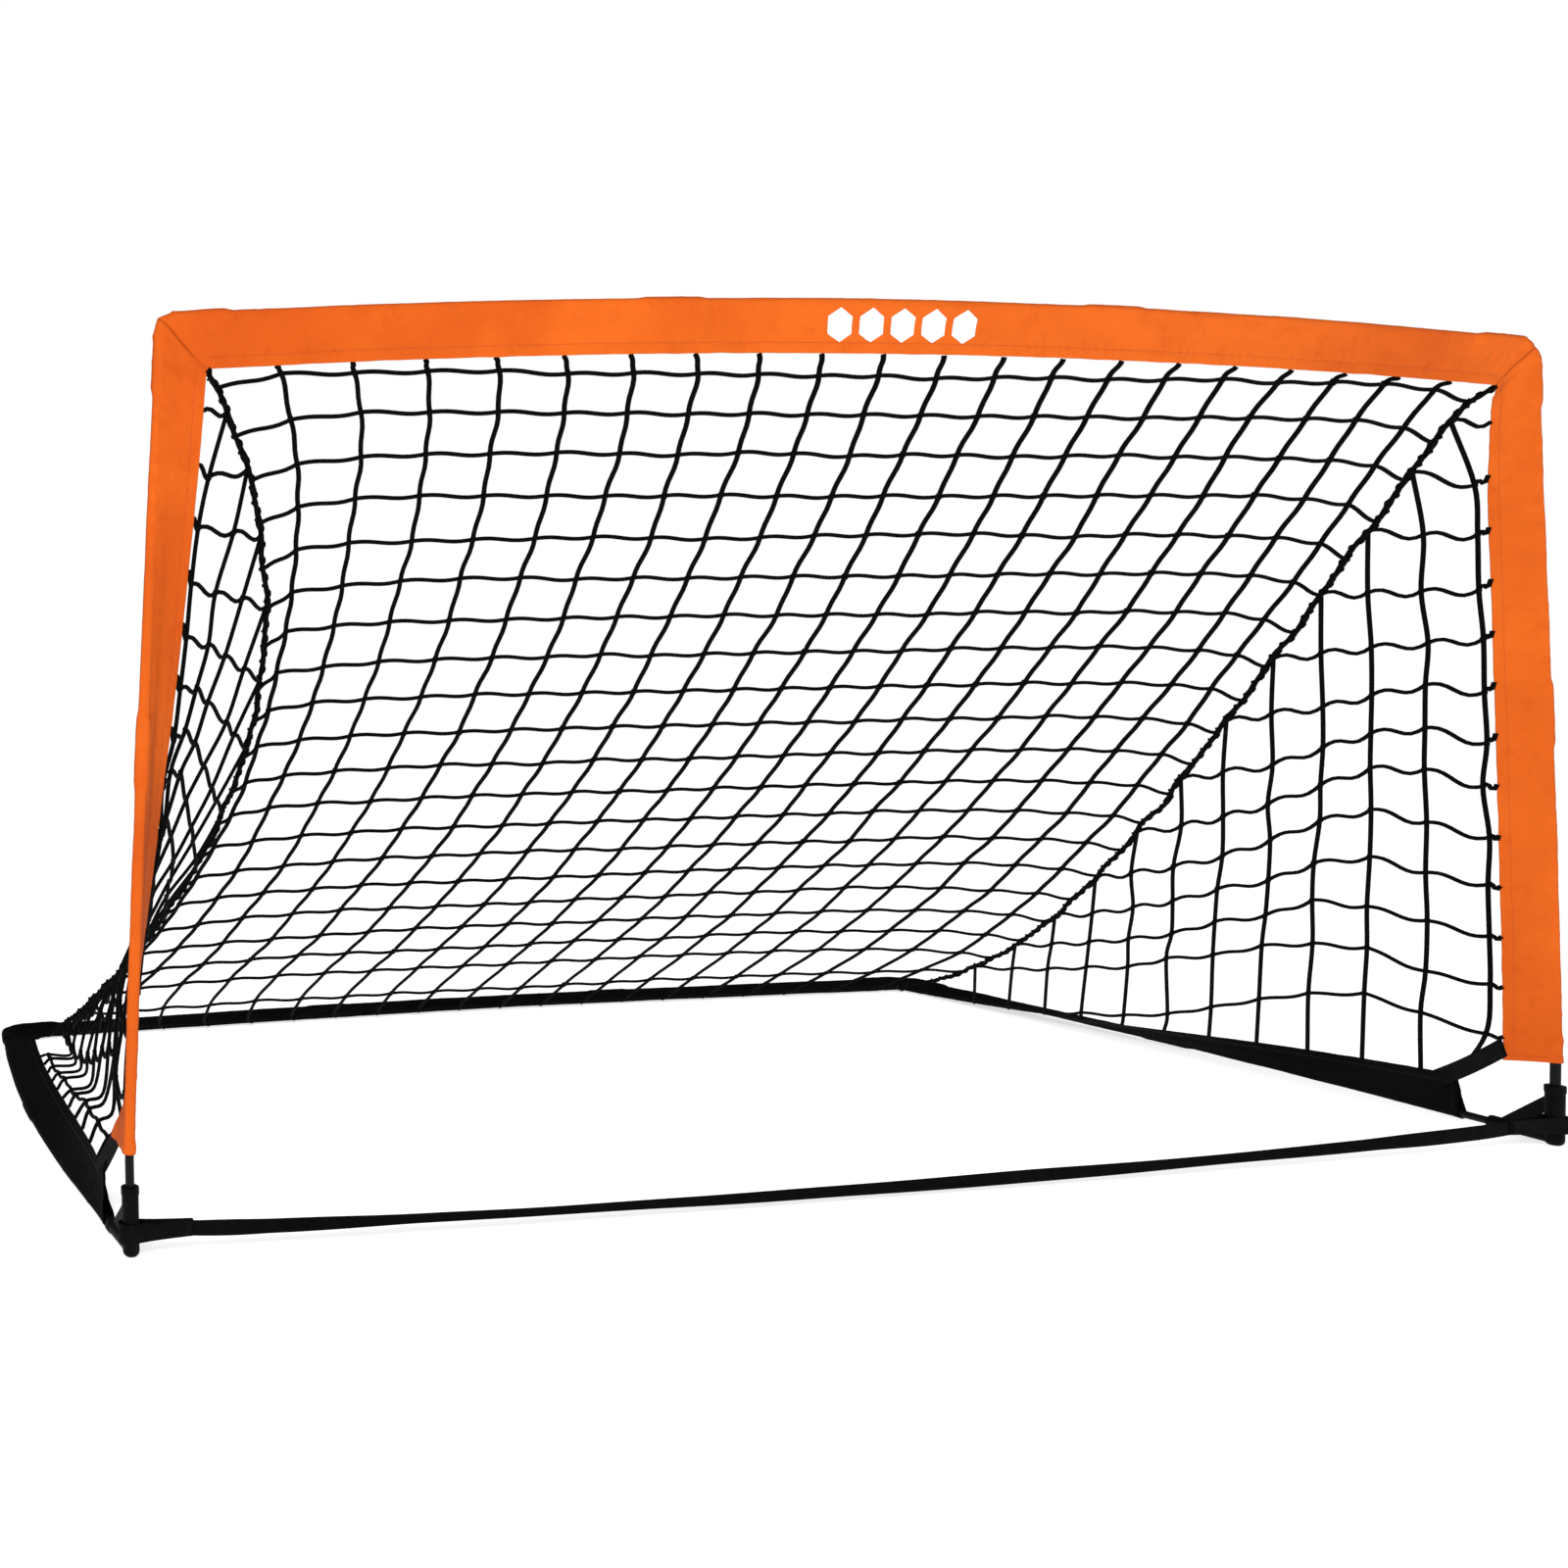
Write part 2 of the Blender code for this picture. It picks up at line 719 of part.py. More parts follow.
def build_link_strap(name, side, turns):
    """A short band from the foot of a post sleeve's flap to the front end of a side sleeve."""
    turn = math.radians(turns[1])
    inward = Vector((-side * math.cos(turn), math.sin(turn), 0))
    low = POST_SLEEVE_FOOT + CLEAR
    top = Vector((side * POST_X, FRONT_Y, low)) + inward * (FLAP + CLEAR)
    end_y = FRONT_Y + BASE_SLEEVE_START - CLEAR
    end = Vector((side * side_x(end_y), end_y, BASE_Z + FLAP - LINK_WIDTH + 2 * CLEAR))
    rows = [[p, p + UP * LINK_WIDTH] for p in (top, top.lerp(end, 0.5), end)]
    sheet(name, rows, LINK_THICK, "webbing")


# Net --------------------------------------------------------------------------------------------


def bezier(points, t):
    shares = [(1 - t) ** 3, 3 * (1 - t) ** 2 * t, 3 * (1 - t) * t * t, t**3]
    return sum((Vector(p) * share for p, share in zip(points, shares)), Vector())


def lace_point(side, t):
    """The sagging seam between the back and a side of the net, from the top corner at t = 0."""
    spot = bezier(LACE_CURVE, t)
    return Vector((side * spot.x, spot.y, spot.z))


def back_net_point(u, t):
    """u runs -1..1 across the goal, t runs 0..1 from the crossbar's hem to the rear hem."""
    edge = lace_point(1, t)
    middle = bezier([(0, y, z) for y, z in MIDDLE_CURVE], t)
    droop = abs(u) ** (TOP_DROOP + (FOOT_DROOP - TOP_DROOP) * t)
    spot = middle.lerp(edge, droop)
    return Vector((u * (edge.x - NET_TO_LACE), spot.y, spot.z))


def build_back_net():
    rows = []
    for t in spread(0.0, 1.0, 13):
        rows.append([back_net_point(u, t) for u in spread(-1.0, 1.0, 9)])
    sheet("net_back", rows, NET_THICK, "net_cord")


def side_net_front(side, t, turns):
    """The net's front edge, a little clear of the post sleeve's hem."""
    top_z = CORNER_Z - FLAP - SIDE_NET_DROP
    z = top_z + t * (POST_SLEEVE_FOOT + SIDE_NET_RISE - top_z)
    hem = post_hem(side, z, turns)
    post = Vector((side * post_x(z), FRONT_Y, z))
    return hem + (hem - post).normalized() * NET_TO_HEM + BACK * NET_BEHIND_HEM


def side_net_foot(side, w):
    """The net's lower edge, a little clear of the side sleeve's hem."""
    y = (FRONT_Y + BASE_SLEEVE_START) * (1 - w) + LACE_CURVE[-1][1] * w
    hem = side_hem(side, y)
    lift = side_flap_lift(y)
    inward = Vector((-side * math.cos(lift), 0, math.sin(lift)))
    return hem + inward * NET_TO_LACE + UP * LACE_R


def build_side_net(name, side, turns):
    rows = []
    for t in spread(SIDE_NET_START, 1.0, 11):
        front = side_net_front(side, t, turns)
        lace = lace_point(side, t)
        lace.x += side * NET_TO_LACE
        row = []
        for w in spread(0.0, 1.0, 9):
            straight = front.lerp(lace, w)
            if w > 0:
                straight = straight.lerp(side_net_foot(side, w), t**6 * (1 - w**8))
            row.append(straight)
        rows.append(row)
    sheet(name, rows, NET_THICK, "net_cord")


def build_net():
    build_back_net()
    build_side_net("net_side_left", -1, LEFT_FLAP_TURN)
    build_side_net("net_side_right", 1, RIGHT_FLAP_TURN)
    for name, side in (("lacing_cord_left", -1), ("lacing_cord_right", 1)):
        wire(name, [lace_point(side, t) for t in spread(0.0, 1.0, 15)], LACE_R, "net_cord")


def build_straps():
    build_front_strap()
    build_strap_loop("strap_loop_left", -1)
    build_strap_loop("strap_loop_right", 1)
    build_link_strap("link_strap_left", -1, LEFT_FLAP_TURN)
    build_link_strap("link_strap_right", 1, RIGHT_FLAP_TURN)


clear_scene()
goal = new_collection("soccer_goal_frame")
cutters = new_collection("cutters", hidden=True)
build_arch()
build_base()
build_connector("corner_connector_left", -1)
build_connector("corner_connector_right", 1)
build_straps()
build_net()
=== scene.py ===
"""Looks of a portable pole-and-sleeve soccer goal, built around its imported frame.

Orange fabric sleeves run over the front arch, black ones over the poles on the ground. A knotted
net hangs between them, laced together along two sagging seams. Everything is in metres.
"""

import math
import random
from bisect import bisect_right
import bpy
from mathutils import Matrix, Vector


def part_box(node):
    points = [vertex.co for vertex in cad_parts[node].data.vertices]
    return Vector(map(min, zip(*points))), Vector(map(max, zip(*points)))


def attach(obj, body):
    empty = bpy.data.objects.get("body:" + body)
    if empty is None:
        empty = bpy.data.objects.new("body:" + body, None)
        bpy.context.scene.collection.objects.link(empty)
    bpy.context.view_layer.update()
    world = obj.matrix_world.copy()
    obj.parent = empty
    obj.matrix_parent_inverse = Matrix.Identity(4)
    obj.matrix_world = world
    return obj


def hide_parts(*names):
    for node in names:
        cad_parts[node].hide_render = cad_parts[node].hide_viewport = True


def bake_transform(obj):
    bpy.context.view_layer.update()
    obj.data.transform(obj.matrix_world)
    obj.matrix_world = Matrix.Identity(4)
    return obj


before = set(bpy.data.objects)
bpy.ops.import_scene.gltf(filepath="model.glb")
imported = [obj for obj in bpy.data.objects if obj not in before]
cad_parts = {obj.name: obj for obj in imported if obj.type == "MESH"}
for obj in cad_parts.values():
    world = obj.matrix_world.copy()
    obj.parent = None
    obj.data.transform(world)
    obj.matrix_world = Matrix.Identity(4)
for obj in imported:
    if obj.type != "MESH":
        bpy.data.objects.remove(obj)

from types import SimpleNamespace

import bmesh
import bpy
from mathutils import Matrix, Vector, noise

UP = Vector((0, 0, 1))
FAR = 9.0  # beyond anything here
TOUCH = 1e-4
CORD_GAP = 0.007  # points of a thin CAD cord that lie closer belong to the same ring
HEM_GAP = 0.012  # and points of a CAD sleeve's hem
LACE_GAP = 0.016  # and points of a CAD lacing cord
LINE_STEPS = 10  # samples in each leg of a smoothed line
SIDES = {-1: "left", 1: "right"}
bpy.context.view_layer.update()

# Fabric sleeves
ROD_BULGE = 0.0071  # radius of the fabric where it wraps a bare pole
OVER = {"ferrule": 0.0090, "elbow": 0.0104}  # and over the joints inside it
OVER_FADE = 0.016  # length over which the fabric returns to the bare pole
FLAP = 0.062  # usual width of the flap, which the marks below are shares of
STITCH_IN = 0.0135  # stitch line, from the hem's edge
HEM_HALF = 0.0010  # half the thickness of the sewn hem
STITCH_HALF = 0.0006  # and at the stitch line
FABRIC_WALL = 0.0005
RING_STEP = 0.004
CUFF = 0.011  # folded end of a sleeve
CUFF_EXTRA = 0.0006  # how much it stands out
CUFF_STITCH_IN = 0.002  # from the cuff's inner edge
CORNER_REACH = 0.10  # stretch of a sleeve that creases near a corner

# Stitches
STITCH_LONG = 0.0027
STITCH_PITCH = 0.0038
STITCH_R = 0.00030

# Net
COLUMNS = 21  # meshes across
ROWS = 22  # meshes from the crossbar to the rear
COLUMN_R = 0.0034
ROW_R = 0.0030  # rows of the back net
SIDE_R = 0.0031  # rows of a side net
KNOT_R = 0.0042
SAG_TOP = Vector((0, 0.162, -0.350))  # how the middle of the net leaves the crossbar
SAG_REAR = Vector((0, -0.760, 0.403))  # and how it arrives at the rear hem
MIDDLE_ROW = (0.74, 0.0503, 0.00014)  # first row, then how the rows space out down the middle
LACE_ROW = (0.70, 0.0350, 0.2545)  # the same down the lacing
TOP_SLACK = 0.25  # the first rows hang lower than that in the middle, by this share of a mesh
NET_WAIST = 0.885  # the net's half width, if all its meshes were as wide as the middle ones
NET_FLARE = 0.065  # how much wider the outer meshes are
NET_TOP = 0.08  # how much wider the net is at the crossbar
NET_SPREAD = 0.22  # and at the rear hem
NET_DRIFT = (0.028, 0.060)  # the columns drift from one side to the other on their way down

# Side nets
SIDE_TOP = 1.076  # first row on the post's hem
SIDE_ROW = {-1: 0.067, 1: 0.0763}  # from one row to the next
SIDE_LOW = 0.150  # no row starts lower on the post
FIRST_COLUMN = -0.548  # where it stands along the ground sleeve
SIDE_COLUMN = 0.0825  # from one column to the next
SIDE_COLUMNS = 12
TOP_SHARE = 0.028  # column j leaves the lacing at this share of it, times j to the power below
TOP_POWER = 1.36
LAST_END = 12.7  # no row reaches the lacing further back than this many columns
GROUND_ROW = 0.19  # rows that start lower end on the ground sleeve instead
GROUND_END = 10  # at this column's foot
TUCKED = 0.85  # the first column hangs almost at the post's hem
ROW_DROP = 0.014  # a high row leaves the post downwards
DROPPED_FROM = (0.45, 0.70)  # heights between which the drop sets in
ROW_HUMP = 0.090  # and the lower ones rise again to the third column
HUMP_PLACE = 0.33
HUMPED_ROWS = (4, 9)  # columns that the first row with a hump reaches, and the first full one
LOOSE_ROWS = 0.016  # extra sag of the left net's lowest rows
LOOSE_HEM = ((0.031, 0.052), (0.060, 0.004))  # where its slack columns turn, in and up from the hem
LOW_ROW = ((0.014, 0.032), (0.013, 0.006))  # and where its last row runs, from front to rear
LOW_START = 0.055  # from the lowest row's start on the post down to the last row's
LOOSE_DROP = 0.035  # how far the lowest row's middle hangs down
SIDE_WAVE = {-1: 0.0045, 1: -0.0055}  # hump or dip of a row after each knot
SIDE_SAG = 0.0025
TAUT = 0.9  # the lowest rows have lost this share of their waves
TAUT_BELOW = 0.60
SIDE_SLIM = 0.88  # a side net's columns are thinner than the back net's

random.seed(7)


# Frame readings ---------------------------------------------------------------------------------


def clusters(points, gap):
    """The middles of groups of points that lie closer together than the gap."""
    groups = []
    for p in points:
        for group in groups:
            if (group[0] - p).length < gap:
                group.append(p)
                break
        else:
            groups.append([p])
    middles = []
    for group in groups:
        unique = {tuple(round(c, 5) for c in p) for p in group}
        middles.append(sum((Vector(p) for p in unique), Vector()) / len(unique))
    return middles


def node_points(node):
    return [v.co.copy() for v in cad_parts[node].data.vertices]


def centre_line(node):
    """A thin cord's centre line, from its left end."""
    left = clusters(node_points(node), CORD_GAP)
    first = min(left, key=lambda p: (p.x > 0, p.z + p.y if node.startswith("base") else p.z))
    line = [first]
    left.remove(first)
    while left:
        following = min(left, key=lambda p: (p - line[-1]).length)
        left.remove(following)
        line.append(following)
    return line


def catmull(points, count):
    """A smooth line through the points, with an even number of samples in each leg."""
    ends = [2 * points[0] - points[1]] + list(points) + [2 * points[-1] - points[-2]]
    line = []
    for a, b, c, d in zip(ends, ends[1:], ends[2:], ends[3:]):
        for i in range(count):
            t = i / count
            line.append(
                0.5 * (2 * b + (c - a) * t + (2 * a - 5 * b + 4 * c - d) * t * t
                       + (3 * b - a - 3 * c + d) * t**3)
            )
    return line + [points[-1]]


def ripple(a, b, c):
    """Smooth noise, from about -1 to 1."""
    return noise.noise(Vector((a, b, c)))


def ease(value):
    value = min(1.0, max(0.0, value))
    return value * value * (3 - 2 * value)


def chord(line, i):
    """From the point before one of a line's points to the point after it."""
    return line[min(i + 1, len(line) - 1)] - line[max(i - 1, 0)]


def around(first, second, angle):
    """A direction that turns from the first towards the second."""
    return math.cos(angle) * first + math.sin(angle) * second


def lengths(line):
    total = [0.0]
    for a, b in zip(line, line[1:]):
        total.append(total[-1] + (b - a).length)
    return total


def along(line, reached, distance):
    """The point at a distance along a line whose lengths are known."""
    low = min(len(line) - 2, max(0, bisect_right(reached, distance) - 1))
    leg = reached[low + 1] - reached[low]
    return line[low].lerp(line[low + 1], (distance - reached[low]) / leg)


def resample(line, step):
    reached = lengths(line)
    count = max(2, round(reached[-1] / step) + 1)
    return [along(line, reached, reached[-1] * i / (count - 1)) for i in range(count)]


def part_of(line, low, high, axis):
    """The stretch of a line whose coordinate on the axis lies between two values, ends included."""
    kept = []
    for a, b in zip(line, line[1:]):
        ends = sorted((a[axis], b[axis]))
        for edge in (low, high):
            if ends[0] < edge < ends[1]:
                kept.append(a.lerp(b, (edge - a[axis]) / (b[axis] - a[axis])))
        if low <= b[axis] <= high:
            kept.append(b)
    return kept


def hem_line(node, axis_line, axis):
    """The free edge of a CAD sleeve: its points farthest from the pole, sorted along the axis."""
    reach = {}
    for p in node_points(node):
        reach[tuple(round(c, 5) for c in p)] = min((p - q).length for q in axis_line)
    limit = 0.85 * min(FLAP, max(reach.values()))
    edge = clusters([Vector(p) for p, far in reach.items() if far > limit], HEM_GAP)
    return sorted(edge, key=lambda p: p[axis])


def at_coordinate(line, value, axis):
    """The point of a line, sorted along the axis, where its coordinate has the value."""
    for a, b in zip(line, line[1:]):
        if value <= b[axis]:
            break
    return a.lerp(b, (value - a[axis]) / (b[axis] - a[axis]))


# Mesh helpers -----------------------------------------------------------------------------------

KNOT_TALL = 1.25
KNOT_LUMP = 0.28


def add_object(name, data):
    obj = bpy.data.objects.new(name, data)
    bpy.context.scene.collection.objects.link(obj)
    return obj


class Shape:
    """Points, faces and surface coordinates (metres) that are gathered before they become a mesh."""

    def __init__(self):
        self.points = []
        self.faces = []
        self.uvs = []

    def grid(self, rows, uv, closed=False):
        start = len(self.points)
        across = len(rows[0])
        for row in rows:
            self.points.extend(row)
        for i in range(len(rows) - 1):
            here = start + i * across
            after = here + across
            for j in range(across if closed else across - 1):
                k = (j + 1) % across
                self.faces.append((here + j, here + k, after + k, after + j))
                self.uvs.extend((uv(i, j), uv(i, j + 1), uv(i + 1, j + 1), uv(i + 1, j)))
        return start

    def skin(self, rings, uv):
        """A closed skin over a row of rings, with a cap at either end."""
        start = self.grid(rings, uv, closed=True)
        across = len(rings[0])
        for first in (start, start + (len(rings) - 1) * across):
            self.faces.append(tuple(range(first, first + across)))
            self.uvs.extend([(0.0, 0.0)] * across)

    def tube(self, line, radius, sides=8):
        """A round cord. The radius is a number or a function of distance and angle."""
        reached = lengths(line)
        rings = []
        normal = None
        for i, p in enumerate(line):
            ahead = chord(line, i).normalized()
            if normal is None:
                normal = ahead.orthogonal().normalized()
            normal = (normal - ahead * normal.dot(ahead)).normalized()
            other = ahead.cross(normal)
            ring = []
            for j in range(sides):
                angle = 2 * math.pi * j / sides
                r = radius(reached[i], angle) if callable(radius) else radius
                ring.append(p + r * around(normal, other, angle))
            rings.append(ring)
        self.skin(rings, lambda i, j: (reached[i], j / sides))

    def bead(self, middle, size, seed):
        """A small lumpy knot, a little taller than wide."""
        rings, sides = 5, 8
        side = UP.orthogonal().normalized()
        other = UP.cross(side)
        rows = []
        for i in range(1, rings):
            polar = math.pi * i / rings
            row = []
            for j in range(sides):
                angle = 2 * math.pi * j / sides
                out = math.sin(polar) * around(side, other, angle)
                p = out + KNOT_TALL * math.cos(polar) * UP
                lump = 1 + KNOT_LUMP * noise.noise(p * 1.6 + Vector((seed, seed * 0.7, 0)))
                row.append(middle + size * lump * p)
            rows.append(row)
        self.skin(rows, lambda i, j: (i * 0.002, j / sides))

    def piece(self, name, material):
        data = bpy.data.meshes.new(name)
        data.from_pydata([tuple(p) for p in self.points], [], self.faces)
        layer = data.uv_layers.new(name="metres")
        layer.data.foreach_set("uv", [c for uv in self.uvs for c in uv])
        mesh = bmesh.new()
        mesh.from_mesh(data)
        bmesh.ops.recalc_face_normals(mesh, faces=mesh.faces)
        mesh.to_mesh(data)
        mesh.free()
        data.shade_smooth()
        data.materials.append(material)
        return add_object(name, data)


def settle(obj, body, slot, *nodes):
    """Put a piece on its body, in place of the CAD nodes that it stands for."""
    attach(obj, body)
    if nodes:
        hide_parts(*nodes)


# Materials --------------------------------------------------------------------------------------

WEAVE_PITCH = 0.0009


class Nodes:
    """Shorthand for building a material's node tree."""

    def __init__(self, name):
        self.material = bpy.data.materials.new(name)
        self.material.use_nodes = True
        self.tree = self.material.node_tree

    def feed(self, node, inputs):
        """Give a node's inputs plain values, or link them to other nodes' outputs."""
        for name, value in inputs.items():
            if isinstance(value, bpy.types.NodeSocket):
                self.tree.links.new(value, node.inputs[name])
            elif value is not None:
                node.inputs[name].default_value = value

    def new(self, kind, inputs, **settings):
        node = self.tree.nodes.new(kind)
        for key, value in settings.items():
            setattr(node, key, value)
        self.feed(node, inputs)
        return node

    def math(self, operation, first, second=None):
        return self.new("ShaderNodeMath", {0: first, 1: second}, operation=operation).outputs[0]

    def level(self, value, span, base):
        """A value from 0 to 1, spread over a span above a base."""
        return self.math("ADD", self.math("MULTIPLY", value, span), base)

    def wave(self, place, length):
        return self.math("SINE", self.math("MULTIPLY", place, 2 * math.pi / length))

    def ribs(self, place, pitch):
        return self.math("ABSOLUTE", self.wave(place, 2 * pitch))

    def noise(self, scale, detail=3.0, roughness=0.5, stretch=None):
        place = self.new("ShaderNodeTexCoord", {}).outputs["Object"]
        if stretch:
            place = self.new("ShaderNodeMapping", {"Vector": place, "Scale": stretch}).outputs["Vector"]
        inputs = {"Vector": place, "Scale": scale, "Detail": detail, "Roughness": roughness}
        return self.new("ShaderNodeTexNoise", inputs).outputs["Fac"]

    def ramp(self, factor, low, high, start=0.3, end=0.7):
        node = self.new("ShaderNodeValToRGB", {"Fac": factor})
        for stop, place, colour in zip(node.color_ramp.elements, (start, end), (low, high)):
            stop.position = place
            stop.color = (*colour, 1)
        return node.outputs["Color"]

    def darken(self, colour, factor, by):
        """A colour multiplied by another, as far as the factor says."""
        inputs = {"Factor": factor, "A": colour, "B": by}
        node = self.new("ShaderNodeMix", inputs, data_type="RGBA", blend_type="MULTIPLY")
        return node.outputs["Result"]

    def bump(self, height, distance, strength, under=None):
        inputs = {"Height": height, "Distance": distance, "Strength": strength, "Normal": under}
        return self.new("ShaderNodeBump", inputs).outputs["Normal"]

    def surface(self):
        """Surface coordinates in metres: along the piece, and across it."""
        layer = self.new("ShaderNodeUVMap", {}, uv_map="metres")
        split = self.new("ShaderNodeSeparateXYZ", {"Vector": layer.outputs["UV"]})
        return split.outputs["X"], split.outputs["Y"]

    def finish(self, colour, roughness, normal=None, gloss=0.5, **more):
        """The finished material. More inputs are named with underscores for spaces."""
        inputs = {key.replace("_", " "): value for key, value in more.items()}
        inputs.update({"Base Color": colour, "Roughness": roughness, "Normal": normal})
        inputs["Specular IOR Level"] = gloss
        self.feed(self.tree.nodes["Principled BSDF"], inputs)
        return self.material


def weave(nodes, pitch):
    """Height of a plain weave: threads along and across pass over each other in turn."""
    u, v = nodes.surface()
    crossing = nodes.math("MULTIPLY", nodes.wave(u, 2 * pitch), nodes.wave(v, 2 * pitch))
    threads = nodes.math("ADD", nodes.ribs(u, pitch / 2), nodes.ribs(v, pitch / 2))
    return nodes.math("ADD", nodes.math("MULTIPLY", threads, 0.5), crossing)


def fabric(name, shade, light, blotch_tint, roughness, gloss):
    """Woven cloth: broad tone changes, random darker blotches, fine slubs, a weave, soft small creases
    and painted shade where it turns away from the view.
    """
    nodes = Nodes(name)
    white = (1.0,) * 3
    broad = nodes.ramp(nodes.noise(3.5, 5.0, 0.6), shade, light, 0.34, 0.60)
    slubs = nodes.ramp(nodes.noise(900.0, 2.0, 0.6), (0.86,) * 3, white, 0.25, 0.65)
    # Darker blotches, spread at random over the cloth.
    marks = nodes.ramp(nodes.noise(38.0, 6.0, 0.65), blotch_tint, white, 0.30, 0.46)
    # Painted shade: the cloth's colour grows darker towards its outline, where it turns away from the
    # view.
    facing = nodes.new("ShaderNodeLayerWeight", {}).outputs["Facing"]
    edges = nodes.ramp(facing, white, (0.50,) * 3, 0.30, 0.92)
    colour = nodes.darken(nodes.darken(nodes.darken(broad, 0.6, slubs), 0.35, marks), 0.8, edges)
    rough = nodes.level(nodes.noise(60.0), 0.14, roughness - 0.07)
    creases = nodes.bump(nodes.noise(46.0, 5.0, 0.6), 0.0016, 0.55)
    normal = nodes.bump(weave(nodes, WEAVE_PITCH), 0.00012, 0.5, under=creases)
    return nodes.finish(colour, rough, normal, gloss)


def cord(name, shade, light, lay, strands):
    """Twisted cord: the strands' grooves wind round it once each lay length."""
    nodes = Nodes(name)
    u, v = nodes.surface()
    turns = nodes.math("ADD", nodes.math("DIVIDE", u, lay), v)
    groove = nodes.math("ABSOLUTE", nodes.wave(turns, 1 / strands))
    fuzz = nodes.bump(nodes.noise(2600.0, 2.0), 0.0003, 0.5)
    normal = nodes.bump(groove, 0.0005, 0.8, under=fuzz)
    return nodes.finish(nodes.ramp(nodes.noise(160.0, 3.0), shade, light), 0.75, normal, 0.04)


def webbing(name, shade, light):
    """Narrow woven strap: ribs across it, bound edges and slightly dusty high spots."""
    nodes = Nodes(name)
    u, v = nodes.surface()
    lines = nodes.math("MULTIPLY", nodes.ribs(v, 0.0022), 0.6)
    height = nodes.math("ADD", nodes.ribs(u, 0.0016), lines)
    normal = nodes.bump(height, 0.0004, 0.7, under=nodes.bump(nodes.noise(70.0), 0.001, 0.4))
    return nodes.finish(nodes.ramp(nodes.noise(90.0, 5.0), shade, light), 0.80, normal, 0.05)


def moulded_plastic(name):
    """Black moulding: fine spark-eroded grain and faint handling marks."""
    nodes = Nodes(name)
    colour = nodes.ramp(nodes.noise(34.0, 5.0), (0.0012,) * 3, (0.0034, 0.0034, 0.0036))
    rough = nodes.level(nodes.noise(120.0, 4.0), 0.20, 0.46)
    grain = nodes.bump(nodes.noise(3200.0, 2.0), 0.00025, 0.35)
    normal = nodes.bump(nodes.noise(60.0, 2.0), 0.0005, 0.3, under=grain)
    return nodes.finish(colour, rough, normal, 0.05)


def fibreglass(name):
    """Pultruded rod: fine streaks along it under a glossy resin skin."""
    nodes = Nodes(name)
    streaks = nodes.noise(120.0, 5.0, 0.6, stretch=(9.0, 9.0, 0.35))
    colour = nodes.ramp(streaks, (0.0015, 0.0015, 0.0018), (0.0050, 0.0050, 0.0055))
    rough = nodes.level(streaks, 0.2, 0.34)
    return nodes.finish(colour, rough, nodes.bump(streaks, 0.0002, 0.3), 0.12)


def brushed_metal(name):
    nodes = Nodes(name)
    lines = nodes.noise(300.0, 4.0, 0.6, stretch=(6.0, 6.0, 0.3))
    colour = nodes.ramp(lines, (0.50, 0.51, 0.53), (0.70, 0.71, 0.73))
    rough = nodes.level(lines, 0.25, 0.22)
    return nodes.finish(colour, rough, nodes.bump(lines, 0.0001, 0.3), Metallic=1.0)


def ink(name, tone):
    """Screen-printed ink, slightly broken by the cloth under it."""
    nodes = Nodes(name)
    colour = nodes.ramp(nodes.noise(700.0, 3.0), (tone * 0.90,) * 3, (tone,) * 3)
    return nodes.finish(colour, 0.55, nodes.bump(weave(nodes, WEAVE_PITCH), 0.0001, 0.4))


def thread(name, shade, light):
    nodes = Nodes(name)
    colour = nodes.ramp(nodes.noise(1500.0, 2.0), shade, light)
    return nodes.finish(colour, 0.6, nodes.bump(nodes.noise(4000.0, 2.0), 0.0002, 0.6))


ORANGE = fabric(
    "orange_polyester", (0.70, 0.105, 0.009), (0.86, 0.150, 0.013), (0.80, 0.62, 0.45), 0.72, 0.08
)
BLACK = fabric(
    "black_polyester", (0.0018, 0.0018, 0.0019), (0.0042, 0.0041, 0.0042), (0.7,) * 3, 0.85, 0.03
)
NET_CORD = cord("net_cord", (0.0012,) * 3, (0.0035,) * 3, 0.011, 3)
LACE_CORD = cord("lace_cord", (0.0012,) * 3, (0.0040,) * 3, 0.016, 4)
STRAP = webbing("strap_webbing", (0.0020,) * 3, (0.0048, 0.0048, 0.0050))
PLASTIC = moulded_plastic("connector_plastic")
ROD = fibreglass("pole_fibreglass")
METAL = brushed_metal("ferrule_metal")
ELASTIC = cord("shock_cord", (0.42, 0.42, 0.40), (0.62, 0.62, 0.58), 0.006, 6)
ORANGE_THREAD = thread("orange_thread", (0.42, 0.055, 0.006), (0.58, 0.085, 0.010))
BLACK_THREAD = thread("black_thread", (0.008,) * 3, (0.018,) * 3)
WHITE_INK = ink("white_ink", 0.93)


# Sleeves ----------------------------------------------------------------------------------------

SQUARE = {-1: 0.40, 1: 0.0}  # how far a top corner fills out towards a square one
FOOT_LOOSE = 0.065  # height of the left flap's loose foot
FOOT_TWIST = 10.0  # degrees that it has turned
FOOT_RISE = 0.012
FOOT_TUCK = {-1: 0.008, 1: 0.0}  # how far a post sleeve has crept up its pole
POLE_START = {-1: -0.020, 1: 0.011}  # where a ground sleeve's front end lies along the pole
HEM_START = {-1: 0.0, 1: 0.016}  # and along the hem
STITCH_SHARE = 1 - STITCH_IN / FLAP  # the stitch line, on the way from the pole (0) to the hem (1)
FLAP_TAPER = 1.22  # how quickly the two faces close on each other between the pole and the stitches
HEM_ROUND = 1.15  # the hem's bulge ends this much before its edge

# Marks across a flap, as distances in from the hem's edge
FLAP_MARKS = (
    0.0, 0.0010, 0.0035, 0.0075, 0.0108, 0.0124, STITCH_IN, 0.0147, 0.0165,
    0.0200, 0.0250, 0.0300, 0.0350, 0.0400, 0.0450, 0.0500, 0.0550, 0.0590,
)
ARC_STEPS = 12

